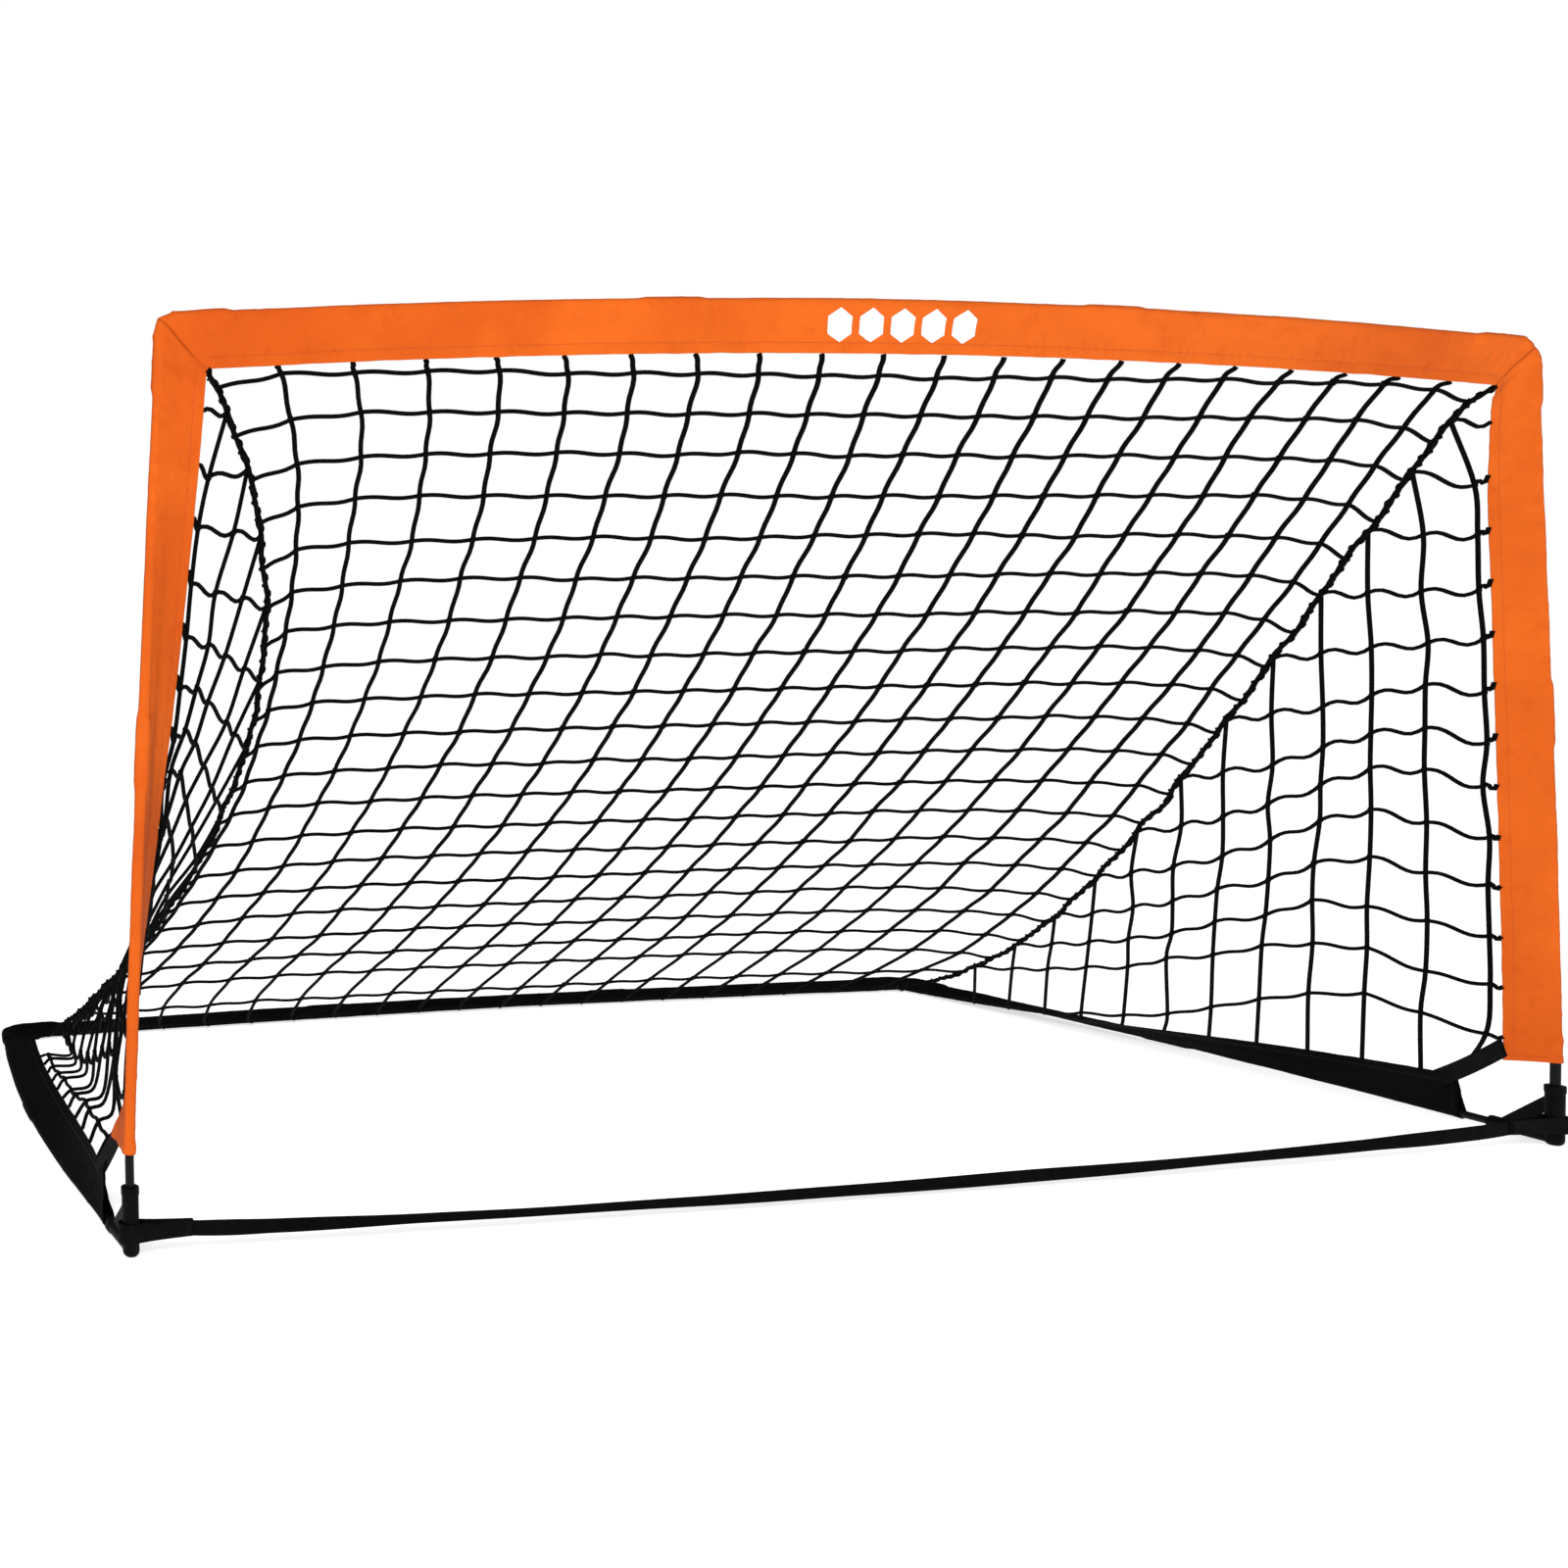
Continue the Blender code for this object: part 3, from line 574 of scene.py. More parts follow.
# Wrinkles: waves per metre along a sleeve, waves across its flap, seed and height
BROAD_WAVES = ((7.0, 1.4, 0, 0.0022), (2.4, 3.6, 14, 0.0024))
FINE_WAVES = (90.0, 6.0, 4, 0.00028)
FOLD_WAVES = (26.0, 2.2, 9, 0.0012)
FOLD_SLANT = 2.0
FOLD_SHARP = 7  # the higher, the narrower the folds
PUCKER_PITCH = 0.0125  # puckers along the stitch line
PUCKER_HEIGHT = 0.00038
PUCKER_REACH = 0.11
HEM_CALM = 0.55  # the hem has lost this share of the waves
EDGE_WAVE = (30, 0.0008)  # waves per metre of the hem's edge, and their size

UNREST = (0.5, 1.6)  # how creased the cloth is anywhere, and how much more near its ends
SEAM_CALM = 0.012  # creases die out this close to a seam
SEAM_DRAW = (0.0011, 0.0035)  # how far a seamed end draws in, and over what length
CUFF_STEP = 0.0015  # length over which a folded end grows thicker
FACES_MEET = 0.6  # from this share of the flap on, its two faces wave together
JOINT_FADE = 2.5  # the swell over a joint is gone after 1 / 2.5 of the flap


def flap_half(share):
    """Half the sleeve's thickness at a share of the way from the pole (0) to the hem (1)."""
    if share > STITCH_SHARE:
        past = (share - STITCH_SHARE) / (1 - STITCH_SHARE)
        bulge = math.sin(math.pi * min(1, past * HEM_ROUND)) ** 0.5
        return STITCH_HALF + (HEM_HALF - STITCH_HALF) * bulge
    return STITCH_HALF + (ROD_BULGE - STITCH_HALF) * (1 - share / STITCH_SHARE) ** FLAP_TAPER


def joints_under(line):
    """Where a sleeve's pole has joints: the start, end and cover radius of each, along the line."""
    reached = lengths(line)
    spans = []
    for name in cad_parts:
        over = next((radius for word, radius in OVER.items() if word in name), None)
        if over is None:
            continue
        low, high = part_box(name)
        inside = [
            s for p, s in zip(line, reached)
            if all(low[k] - TOUCH <= p[k] <= high[k] + TOUCH for k in range(3))
        ]
        if inside:
            spans.append((inside[0] - RING_STEP, inside[-1] + RING_STEP, over))
    return spans


def wrinkle(s, share, seed, waves):
    along_it, across_it, offset, height = waves
    return ripple(s * along_it, share * across_it, seed + offset) * height


def crease(s, share, seed, unrest):
    """Wrinkles of the cloth: broad waves, slanting folds and puckers along the stitch line."""
    broad = sum(wrinkle(s, share, seed, waves) for waves in BROAD_WAVES)
    along_it, across_it, offset, height = FOLD_WAVES
    slant = ripple(s * along_it + share * FOLD_SLANT, share * across_it, seed + offset)
    folds = (1 - abs(slant)) ** FOLD_SHARP * height
    fine = wrinkle(s, share, seed, FINE_WAVES)
    pucker = math.sin(s * 2 * math.pi / PUCKER_PITCH + 4 * ripple(s * 12, seed, 0))
    pucker *= PUCKER_HEIGHT * math.exp(-(((share - STITCH_SHARE) / PUCKER_REACH) ** 2))
    return (broad + folds * unrest + fine * (1 + unrest)) * (1 - HEM_CALM * share) + pucker


class Sleeve:
    """A fabric tube round a pole with a flat flap that ends in a sewn hem.

    Cuffs say which of its two ends are folded, and square how far each end's corner fills out."""

    def __init__(self, axis_line, hem, name, seed, cuffs=(False, False), square=(0, 0), bend=0.04):
        self.axis = axis_line
        self.hem = hem
        self.name = name
        self.seed = seed
        self.cuffs = cuffs
        self.square = square
        self.bend = bend
        self.reached = lengths(axis_line)
        self.joints = joints_under(axis_line)

    def frame_at(self, i):
        inward = self.hem[i] - self.axis[i]
        width = inward.length
        inward = inward / width
        return inward, inward.cross(chord(self.axis, i)).normalized(), width

    def gaps(self, s):
        """The distances to both ends."""
        return s, self.reached[-1] - s

    def unrest(self, s):
        """Cloth is more creased near a corner and at a loose end."""
        anywhere, more = UNREST
        return anywhere + more * math.exp(-((min(self.gaps(s)) / CORNER_REACH) ** 2))

    def push(self, s):
        """How far a squared corner stands out beyond the round bend."""
        out = 0.0
        for gap, square in zip(self.gaps(s), self.square):
            half_bend = 0.25 * math.pi * self.bend
            turn = math.radians(45) * max(0.0, 1 - gap / half_bend)
            out += square * (self.bend + ROD_BULGE) * (1 / math.cos(turn) - 1)
        return out

    def swell(self, s):
        """The cloth's radius over the pole, which grows over a joint."""
        radius = ROD_BULGE
        for start, end, over in self.joints:
            outside = max(0.0, start - s, s - end)
            radius = max(radius, ROD_BULGE + (over - ROD_BULGE) * (1 - ease(outside / OVER_FADE)))
        return radius

    def calm(self, s):
        """Creases die out at a seam, so that two sleeves meet there."""
        quiet = 1.0
        for gap, cuff in zip(self.gaps(s), self.cuffs):
            if not cuff:
                quiet *= 1 - math.exp(-((gap / SEAM_CALM) ** 2))
        return quiet

    def extra(self, s):
        """Folded ends are thicker, and a seamed end draws in."""
        grow = 0.0
        for gap, cuff in zip(self.gaps(s), self.cuffs):
            if cuff:
                grow += CUFF_EXTRA * ease((CUFF - gap) / CUFF_STEP)
            else:
                grow -= SEAM_DRAW[0] * math.exp(-((gap / SEAM_DRAW[1]) ** 2))
        return grow

    def crease_at(self, s, share):
        return crease(s, share, self.seed, self.unrest(s))

    def point(self, i, share, face):
        """A point on the flap's front (face -1) or back (face 1)."""
        inward, across, width = self.frame_at(i)
        s = self.reached[i]
        half = flap_half(share) + self.extra(s)
        half += (self.swell(s) - ROD_BULGE) * max(0.0, 1 - share * JOINT_FADE)
        lift = self.crease_at(s, share) * self.calm(s)
        together = ease(share / FACES_MEET)
        edge = EDGE_WAVE[1] * ripple(s * EDGE_WAVE[0], self.seed, 2) * share
        return (
            self.axis[i]
            + inward * (share * width + edge)
            + across * (face * half + lift * together + face * abs(lift) * (1 - together))
        )

    def ring(self, i):
        """One cross-section: down the front of the flap, round the pole and up the back."""
        inward, across, _ = self.frame_at(i)
        s = self.reached[i]
        shares = [1 - mark / FLAP for mark in FLAP_MARKS]
        ring = [self.point(i, share, -1) for share in shares]
        push = self.push(s)
        bulge = self.swell(s) + self.extra(s)
        for step in range(ARC_STEPS + 1):
            angle = math.pi * (step / ARC_STEPS - 0.5)
            out = -inward * math.cos(angle) + across * math.sin(angle)
            r = bulge + abs(self.crease_at(s, 0.02 * step)) * 0.6 * self.calm(s)
            ring.append(self.axis[i] + out * r - inward * push * math.cos(angle) ** 2)
        return ring + [self.point(i, share, 1) for share in reversed(shares)]

    def build(self, material):
        rings = [self.ring(i) for i in range(len(self.axis))]
        for ring in rings:
            for p in ring:
                p.z = max(p.z, 0.0)  # flat where it rests on the ground
        middle = rings[len(rings) // 2]
        across = lengths(middle + middle[:1])
        shape = Shape()
        shape.grid(rings, lambda i, j: (self.reached[i], across[j]), closed=True)
        obj = shape.piece(self.name, material)
        wall = obj.modifiers.new("wall", "SOLIDIFY")
        wall.thickness = FABRIC_WALL
        wall.offset = -1
        return obj

    def nearest(self, s):
        return min(range(len(self.reached)), key=lambda i: abs(self.reached[i] - s))

    def place(self, s, share, face, rise=0.0):
        """A smooth point over the flap's surface at a distance along it."""
        low = min(len(self.axis) - 2, max(0, int(s / self.reached[-1] * (len(self.axis) - 1))))
        part = (s - self.reached[low]) / (self.reached[low + 1] - self.reached[low])
        p = self.point(low, share, face).lerp(self.point(low + 1, share, face), part)
        _, across, _ = self.frame_at(low)
        return p + across * (face * rise)


STITCH_SHAPE = ((0, -1), (0.25, 0.6), (0.75, 0.6), (1, -1))  # along a stitch, and out of the cloth
STITCHED = (0.012, 0.004)  # gaps that the stitch line leaves at a sleeve's two ends
CUFF_STITCHED = (0.12, 0.84, 0.80)  # where a cuff's stitches start and how far they reach


def add_stitches(shape, sleeve, face):
    """A row of lockstitches pressed into the cloth along the hem."""
    s = STITCHED[0]
    while s + STITCH_LONG < sleeve.reached[-1] - STITCHED[1]:
        _, across, _ = sleeve.frame_at(sleeve.nearest(s))
        line = [
            sleeve.place(s + STITCH_LONG * part, STITCH_SHARE, face) + across * face * STITCH_R * out
            for part, out in STITCH_SHAPE
        ]
        shape.tube(line, STITCH_R, sides=5)
        s += STITCH_PITCH


def add_cuff_stitches(shape, sleeve, face):
    """Stitches across one face of the flap, at its folded end."""
    i = sleeve.nearest(CUFF - CUFF_STITCH_IN)
    _, across, width = sleeve.frame_at(i)
    first, reach, covered = CUFF_STITCHED
    count = int(width * covered / STITCH_PITCH)
    for k in range(count):
        share = first + reach * k / count
        line = [
            sleeve.point(i, share + STITCH_LONG / width * part, face) + across * (face * STITCH_R * out)
            for part, out in STITCH_SHAPE
        ]
        shape.tube(line, STITCH_R, sides=5)


def matched(line, hem, axis):
    """For each point of a sleeve's axis, the hem's point at the same share of its own span."""
    start, end = line[0][axis], line[-1][axis]
    low, high = hem[0][axis], hem[-1][axis]
    if start > end:
        low, high = high, low
    shares = ((p[axis] - start) / (end - start) for p in line)
    return [at_coordinate(hem, low + (high - low) * share, axis) for share in shares]


def smooth_hem(hem, axis):
    """A hem line with its corners eased, still sorted along the axis."""
    return sorted(catmull(hem, LINE_STEPS), key=lambda p: p[axis])


def share_corner(side_hem, cross_hem, end):
    """Two hems that meet at a mitre end on the same point."""
    corner = (side_hem[-1] + cross_hem[end]) / 2
    side_hem[-1] = corner
    cross_hem[end] = corner


def up_to_mitre(pole, inner, side, axis):
    """A pole's line up to the mitre: where it is nearest to the line from the inner corner outwards."""
    spread = Vector((side, 0, 0))
    spread[axis] = 1
    spread.normalize()

    def miss(i):
        return (pole[i] - inner).cross(spread).length if pole[i][axis] > inner[axis] else FAR

    return pole[: min(range(len(pole)), key=miss) + 1]


def twist_foot(line, hem):
    """The left flap's loose foot has turned past square and drawn up a little."""
    foot = line[0].z
    turned = []
    for p, edge in zip(line, hem):
        loose = ease(1 - (p.z - foot) / FOOT_LOOSE)
        swing = Matrix.Rotation(math.radians(FOOT_TWIST) * loose, 3, "Z")
        turned.append(p + swing @ (edge - p) + UP * FOOT_RISE * loose)
    return turned


# The two runs of poles. Each has a sleeve at either side and one across. The axis is the one that
# the side sleeves run along, and the sleeve across lies beyond a place on it. The starts are where
# the side sleeves begin, from the CAD's place on the pole and on the hem.
ARCH = SimpleNamespace(
    cord="arch_shock_cord", body="arch", side="post", across="crossbar_sleeve", axis=2, beyond=1.0,
    pole_start=FOOT_TUCK, hem_start=None, loose=-1, square=SQUARE, bend=0.04, seeds=(3.0, 12.0),
    cloth=ORANGE, thread=ORANGE_THREAD, slot="orange_fabric",
)
BASE = SimpleNamespace(
    cord="base_shock_cord", body="base", side="side", across="rear_sleeve", axis=1, beyond=0.3,
    pole_start=POLE_START, hem_start=HEM_START, loose=None, square={-1: 0, 1: 0}, bend=0.06,
    seeds=(21.0, 31.0),
    cloth=BLACK, thread=BLACK_THREAD, slot="black_fabric",
)


def dress(run):
    """The three sleeves over a run of poles, by name."""
    axis = run.axis
    poles = catmull(centre_line(run.cord), LINE_STEPS)
    middle = len(poles) // 2
    halves = {-1: poles[: middle + 1], 1: poles[middle:][::-1]}
    names = {side: f"{word}_{run.side}_sleeve" for side, word in SIDES.items()}
    hems = {side: hem_line(name, poles, axis) for side, name in names.items()}
    cross_hem = hem_line(run.across, poles, 0)
    share_corner(hems[-1], cross_hem, 0)
    share_corner(hems[1], cross_hem, -1)
    corners = {}
    sleeves = []
    for side, name in names.items():
        pole = part_of(halves[side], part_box(name)[0][axis] + run.pole_start[side], FAR, axis)
        hem = smooth_hem(hems[side], axis)
        if run.hem_start:
            hem = part_of(hem, hem[0][axis] + run.hem_start[side], FAR, axis)
        pole = up_to_mitre(pole, hem[-1], side, axis)
        corners[side] = pole[-1].x
        line = resample(pole, RING_STEP)
        edge = matched(line, hem, axis)
        if side == run.loose:
            edge = twist_foot(line, edge)
        sleeves.append(Sleeve(
            line, edge, name, run.seeds[0] + side, (True, False), (0, run.square[side]), run.bend
        ))
    between = part_of(poles, corners[-1], corners[1], 0)
    line = resample([p for p in between if p[axis] > run.beyond], RING_STEP)
    edge = matched(line, smooth_hem(cross_hem, 0), 0)
    square = (run.square[-1], run.square[1])
    sleeves.append(Sleeve(line, edge, run.across, run.seeds[1], square=square, bend=run.bend))
    for sleeve in sleeves:
        settle(sleeve.build(run.cloth), run.body, run.slot, sleeve.name)
    return {sleeve.name: sleeve for sleeve in sleeves}


def sew(sleeves, run):
    """Lockstitch rows along the hems and round the folded ends."""
    for name, sleeve in sleeves.items():
        shape = Shape()
        for face in (-1, 1):
            add_stitches(shape, sleeve, face)
        if sleeve.cuffs[0]:
            for face in (-1, 1):
                add_cuff_stitches(shape, sleeve, face)
        settle(shape.piece(f"{name}_stitches", run.thread), run.body, run.slot)


MARK_COUNT = 5
MARK_SIZE = 0.021  # radius of a hexagon
MARK_PITCH = 0.048
MARK_SHIFT = 0.005  # from the crossbar's middle
MARK_DROP = 0.027  # from the pole to the marks' middle
MARK_RISE = 0.00025
MARK_GRID = (10, 4)  # squares from a hexagon's middle to its edge, along the sleeve and across it
MARK_UV = 0.0016


def print_mark(sleeve):
    """A plain row of white hexagons printed where a maker would put a mark."""
    shape = Shape()
    long, tall = MARK_GRID
    slope = math.radians(30)
    for k in range(MARK_COUNT):
        middle = sleeve.reached[-1] / 2 + MARK_SHIFT + (k - MARK_COUNT // 2) * MARK_PITCH
        rows = []
        for i in range(-long, long + 1):
            off = i / long * MARK_SIZE * math.cos(slope)
            half = MARK_SIZE - abs(off) * math.tan(slope)
            shares = ((MARK_DROP + j / tall * half) / FLAP for j in range(-tall, tall + 1))
            rows.append([sleeve.place(middle + off, share, 1, MARK_RISE) for share in shares])
        shape.grid(rows, lambda i, j: (i * MARK_UV, j * MARK_UV))
    settle(shape.piece("crossbar_print", WHITE_INK), "arch", "orange_fabric")


# Net --------------------------------------------------------------------------------------------

EDGE_PULL = (12, 7, 14)  # power that keeps the sag off the lacing, its drop, and rows it takes
WAIST_FROM = 0.35  # share of the sag from which the columns spread
HEM_STRETCH = 0.012
SETTLED_ROWS = 3  # the last rows settle on the rear hem
SETTLED_RISE = 0.0015
NET_WANDER = (7, 0.9, 0.0040)  # waves across, waves per row, and size of the back net's unevenness
TOP_FADE = 1.7  # rows over which the first rows' extra slack fades
CORD_STEP = 0.008
CORD_SWING = 1.7
ROW_WAVE = 0.0016
ROW_SAG = 0.0008
MESH_STEPS = 6  # samples of a column in each mesh
COLUMN_JOG = 0.0012
SIDE_WANDER = 0.008
LOOSE_WANDER = 0.012
LOOSE_BELOW = (0.45, 0.2)  # height under which the left net's rows sag more, and how soon fully
SIDE_KNOT = 0.95  # a side net's knots, as a share of the back net's
LAST_GAP = 0.15  # a row has no knot closer to its end than this many columns


def bezier(a, b, c, d, t):
    return a * (1 - t) ** 3 + b * 3 * (1 - t) ** 2 * t + c * 3 * (1 - t) * t * t + d * t**3


def wander(a, b, seed):
    """A smooth random vector over a plane."""
    return Vector([ripple(a, b, seed + 4.0 * k) for k in range(3)])


class Net:
    """Where the strings run, worked out from the hems and the two lacing cords."""

    def __init__(self, arch, base):
        self.laces = {}
        self.posts = {}
        self.grounds = {}
        for side, word in SIDES.items():
            self.posts[side] = sorted(arch[f"{word}_post_sleeve"].hem, key=lambda p: p.z)
            self.grounds[side] = sorted(base[f"{word}_side_sleeve"].hem, key=lambda p: p.y)
            points = clusters(node_points(f"lacing_cord_{word}"), LACE_GAP)
            points.sort(key=lambda p: p.y - p.z)
            self.laces[side] = catmull(points, 12)
        self.bar_hem = sorted(arch["crossbar_sleeve"].hem, key=lambda p: p.x)
        self.rear_hem = sorted(base["rear_sleeve"].hem, key=lambda p: p.x)
        self.top = at_coordinate(self.bar_hem, 0.0, 0)
        self.rear = at_coordinate(self.rear_hem, 0.0, 0)

    def centre(self, t):
        return bezier(self.top, self.top + SAG_TOP, self.rear + SAG_REAR, self.rear, t)

    def lace(self, side, t):
        line = self.laces[side]
        place = min(1.0, max(0.0, t)) * (len(line) - 1)
        low = min(len(line) - 2, int(place))
        return line[low].lerp(line[low + 1], place - low)

    def lace_share(self, k):
        """Where row k of the back net meets the lacing, as a share of the lacing's own parameter."""
        first, pace, late = LACE_ROW
        row = max(0.0, k - first)
        return min(1.0, pace * row + late * (row / (ROWS - first)) ** 4)

    def middle_share(self, k):
        first, pace, slowing = MIDDLE_ROW
        row = max(0.0, k - first + TOP_SLACK * math.exp((1 - k) / TOP_FADE))
        return min(1.0, (pace - slowing * row) * row)

    def back(self, u, k):
        """The back net at u across (-1..1) and k rows down (0..ROWS)."""
        side = -1 if u < 0 else 1
        edge = self.lace(side, self.lace_share(k))
        t = self.middle_share(k)
        power, less, rows = EDGE_PULL
        p = self.centre(t).lerp(edge, abs(u) ** (power - less * min(1.0, k / rows)))
        half = NET_WAIST * (1 + NET_FLARE * u * u) + NET_TOP * math.exp(-k / 2)
        half += NET_SPREAD * max(0.0, (t - WAIST_FROM) / (1 - WAIST_FROM)) ** 2
        half += (abs(edge.x) - half) * abs(u) ** 8
        p.x = u * half + (NET_DRIFT[0] - NET_DRIFT[1] * t) * (1 - u**4)
        if k < 0.5:  # the columns hang from the crossbar's hem
            x = u * self.bar_hem[-1].x * (1 + HEM_STRETCH * u * u) + NET_DRIFT[0] * (1 - u**4)
            p = at_coordinate(self.bar_hem, x, 0) + Vector((0, COLUMN_R, 0))
        if k > ROWS - SETTLED_ROWS:
            hem = at_coordinate(self.rear_hem, u * self.rear_hem[-1].x, 0)
            settled = ease((k - ROWS + SETTLED_ROWS) / SETTLED_ROWS)
            p = p.lerp(hem + UP * SETTLED_RISE, settled * (1 - u**8))
        loose = min(1.0, k, ROWS - k)
        across, down, size = NET_WANDER
        return p + wander(u * across, k * down, 1) * size * loose

    def column_top(self, side, j):
        return self.lace(side, TOP_SHARE * j**TOP_POWER)


def string(shape, knots, radius, wave, sag, seed):
    """A cord through its knots, with a little hump after each knot and some slack between."""
    line = []
    for index, (a, b) in enumerate(zip(knots, knots[1:])):
        steps = max(5, round((b - a).length / CORD_STEP))
        side = (b - a).cross(UP)
        side = side.normalized() if side.length > 1e-5 else Vector((1, 0, 0))
        swing = ripple(index * CORD_SWING, seed, 0)
        for i in range(steps):
            t = i / steps
            p = a.lerp(b, t)
            p += UP * (wave * math.sin(2 * math.pi * t) - sag * math.sin(math.pi * t))
            p += side * swing * 0.5 * wave * math.sin(math.pi * t)
            line.append(p)
    line.append(knots[-1])
    shape.tube(line, radius, sides=7)


def build_back_net(net):
    shape = Shape()
    across = [-1 + 2 * column / COLUMNS for column in range(COLUMNS + 1)]
    for u in across[1:-1]:
        line = catmull([net.back(u, k) for k in range(ROWS + 1)], MESH_STEPS)
        for i, p in enumerate(line):
            p.x += COLUMN_JOG * math.sin(2 * math.pi * (i % MESH_STEPS) / MESH_STEPS)
        shape.tube(line, COLUMN_R, sides=8)
    for row in range(1, ROWS):
        knots = [net.back(u, row) for u in across]
        string(shape, knots, ROW_R, ROW_WAVE, ROW_SAG, row * 3.1)
        for column, p in enumerate(knots[1:-1], 1):
            shape.bead(p, KNOT_R * (0.9 + 0.2 * random.random()), seed=column + row * 0.37)
    return shape.piece("net_back_mesh", NET_CORD)


def column_foot(ground, j):
    y = FIRST_COLUMN + SIDE_COLUMN * (j - 1)
    return at_coordinate(ground, min(ground[-1].y, max(ground[0].y, y)), 1)


def side_crossing(foot, top, start, end, last, j):
    """Where a side net's column j, from a foot to a top, crosses the row from a start to an end."""
    w = (j - TUCKED) / (last - TUCKED)
    lowest, full = DROPPED_FROM
    drop = ROW_DROP * ease((start.z - lowest) / (full - lowest))
    on_row = (start - UP * drop).lerp(end, w)
    place = w / HUMP_PLACE
    fewest, full = HUMPED_ROWS
    height = ROW_HUMP * ease((last - fewest) / (full - fewest))
    on_row.z += height * (place * math.exp(1 - place)) ** 3 * (1 - w)
    s = min(1.0, max(0.02, (on_row.z - foot.z) / (top.z - foot.z)))
    on_column = foot.lerp(top, s)
    return (on_row * s + on_column * w) / (s + w)


def loose_point(foot, ends, back, side, j):
    """A point of a slack column near its foot. It lies in from the hem, and up from it."""
    inward, up = (a + (b - a) * back for a, b in zip(*ends))
    return foot + Vector((-side * inward, 0, up)) + wander(j * 0.9, back, 5) * LOOSE_WANDER


def add_side_rows(shape, net, side, starts, ground):
    """A side net's rows, each from a start on the post. Returns the columns' knots, from the top."""
    columns = {j: [] for j in range(1, SIDE_COLUMNS + 1)}
    for i, start in enumerate(starts):
        last = min(i + 1, LAST_END)
        end = net.column_top(side, last)
        if start.z < GROUND_ROW:
            last = GROUND_END
            end = column_foot(ground, last) + UP * KNOT_R
        knots = [start]
        for j, column in columns.items():
            if j < last - LAST_GAP:
                foot, top = column_foot(ground, j), net.column_top(side, j)
                p = side_crossing(foot, top, start, end, last, j)
                p += wander(i * 0.8, j * 0.9, side) * SIDE_WANDER
                if side < 0 and start is starts[-1]:
                    p.z -= LOOSE_DROP * math.sin(math.pi * j / last)
                column.append(p)
                knots.append(p)
                shape.bead(p, KNOT_R * SIDE_KNOT, seed=i * 1.3 + j * 0.4)
        knots.append(end)
        loose = LOOSE_ROWS * ease((LOOSE_BELOW[0] - start.z) / LOOSE_BELOW[1]) if side < 0 else 0.0
        wave = SIDE_WAVE[side] * (1 - TAUT * ease((TAUT_BELOW - start.z) / TAUT_BELOW))
        string(shape, knots, SIDE_R, wave, SIDE_SAG + loose, 50 + i * 2.3 + side)
    return columns


def build_side_net(net, side):
    post, ground = net.posts[side], net.grounds[side]
    shape = Shape()
    count = int((SIDE_TOP - SIDE_LOW) / SIDE_ROW[side]) + 1
    starts = [at_coordinate(post, SIDE_TOP - SIDE_ROW[side] * i, 2) for i in range(count)]
    columns = add_side_rows(shape, net, side, starts, ground)
    low_row = [starts[-1] - UP * LOW_START]
    for j, crossings in columns.items():
        foot = column_foot(ground, j)
        knots = [net.column_top(side, j)] + crossings
        if side < 0:
            back = (j - 1) / (SIDE_COLUMNS - 1)
            turn, low = (loose_point(foot, ends, back, side, j) for ends in (LOOSE_HEM, LOW_ROW))
            knots += [turn, low]
            low_row.append(low)
            shape.bead(low, KNOT_R * SIDE_KNOT, seed=j * 0.7)
        knots.append(foot)
        shape.tube(catmull(knots, MESH_STEPS), COLUMN_R * SIDE_SLIM, sides=8)
    if side < 0:
        string(shape, low_row, SIDE_R, SIDE_WAVE[side] / 2, SIDE_SAG, 90)
    return shape.piece(f"net_side_{SIDES[side]}_mesh", NET_CORD)


LACE_CORE_R = 0.0036
LACE_EASE = 0.035  # the lacing runs straight to the corner from this far
LACE_STEP = 0.003
LACE_SWING = (16, 0.006)  # waves per metre, and how far they carry it to the side
LACE_LUMPS = (42, 0.0026)
LACE_GROOVE = (4, 0.0004)  # strands, and the depth between them
LACE_LAY = 0.016
WHIP_LAY = 0.024
WHIP_RISE = 0.0010
WHIP_R = 0.0016


def build_lace(net, side):
    """The lacing: a lumpy cord with a finer one whipped round it."""
    shape = Shape()
    end = 0 if side < 0 else -1
    corner = net.bar_hem[end]
    free = [p for p in net.laces[side] if (p - corner).length > LACE_EASE]
    core = []
    for i, p in enumerate(resample([corner] + free + [net.rear_hem[end]], LACE_STEP)):
        wave = i * LACE_STEP * LACE_SWING[0]
        core.append(p + Vector([ripple(wave, side, 3 * k) for k in range(3)]) * LACE_SWING[1])

    def lumpy(s, angle):
        lump = max(0.0, ripple(s * LACE_LUMPS[0], side, 2)) * LACE_LUMPS[1]
        strands, depth = LACE_GROOVE
        return LACE_CORE_R + lump + depth * math.cos(strands * angle - 2 * math.pi * s / LACE_LAY)

    shape.tube(core, lumpy, sides=12)
    whip = []
    for i, p in enumerate(core):
        ahead = chord(core, i).normalized()
        normal = ahead.orthogonal().normalized()
        turn = 2 * math.pi * i * LACE_STEP / WHIP_LAY
        whip.append(p + (LACE_CORE_R + WHIP_RISE) * around(normal, ahead.cross(normal), turn))
    shape.tube(whip, WHIP_R, sides=6)
    return shape.piece(f"lacing_{SIDES[side]}", LACE_CORD)


def build_net(arch, base):
    net = Net(arch, base)
    pieces = [(build_back_net(net), "net_back")]
    for side, word in SIDES.items():
        pieces.append((build_side_net(net, side), f"net_side_{word}"))
        pieces.append((build_lace(net, side), f"lacing_cord_{word}"))
    for obj, node in pieces:
        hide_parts(node)
        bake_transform(obj)


# Straps -----------------------------------------------------------------------------------------

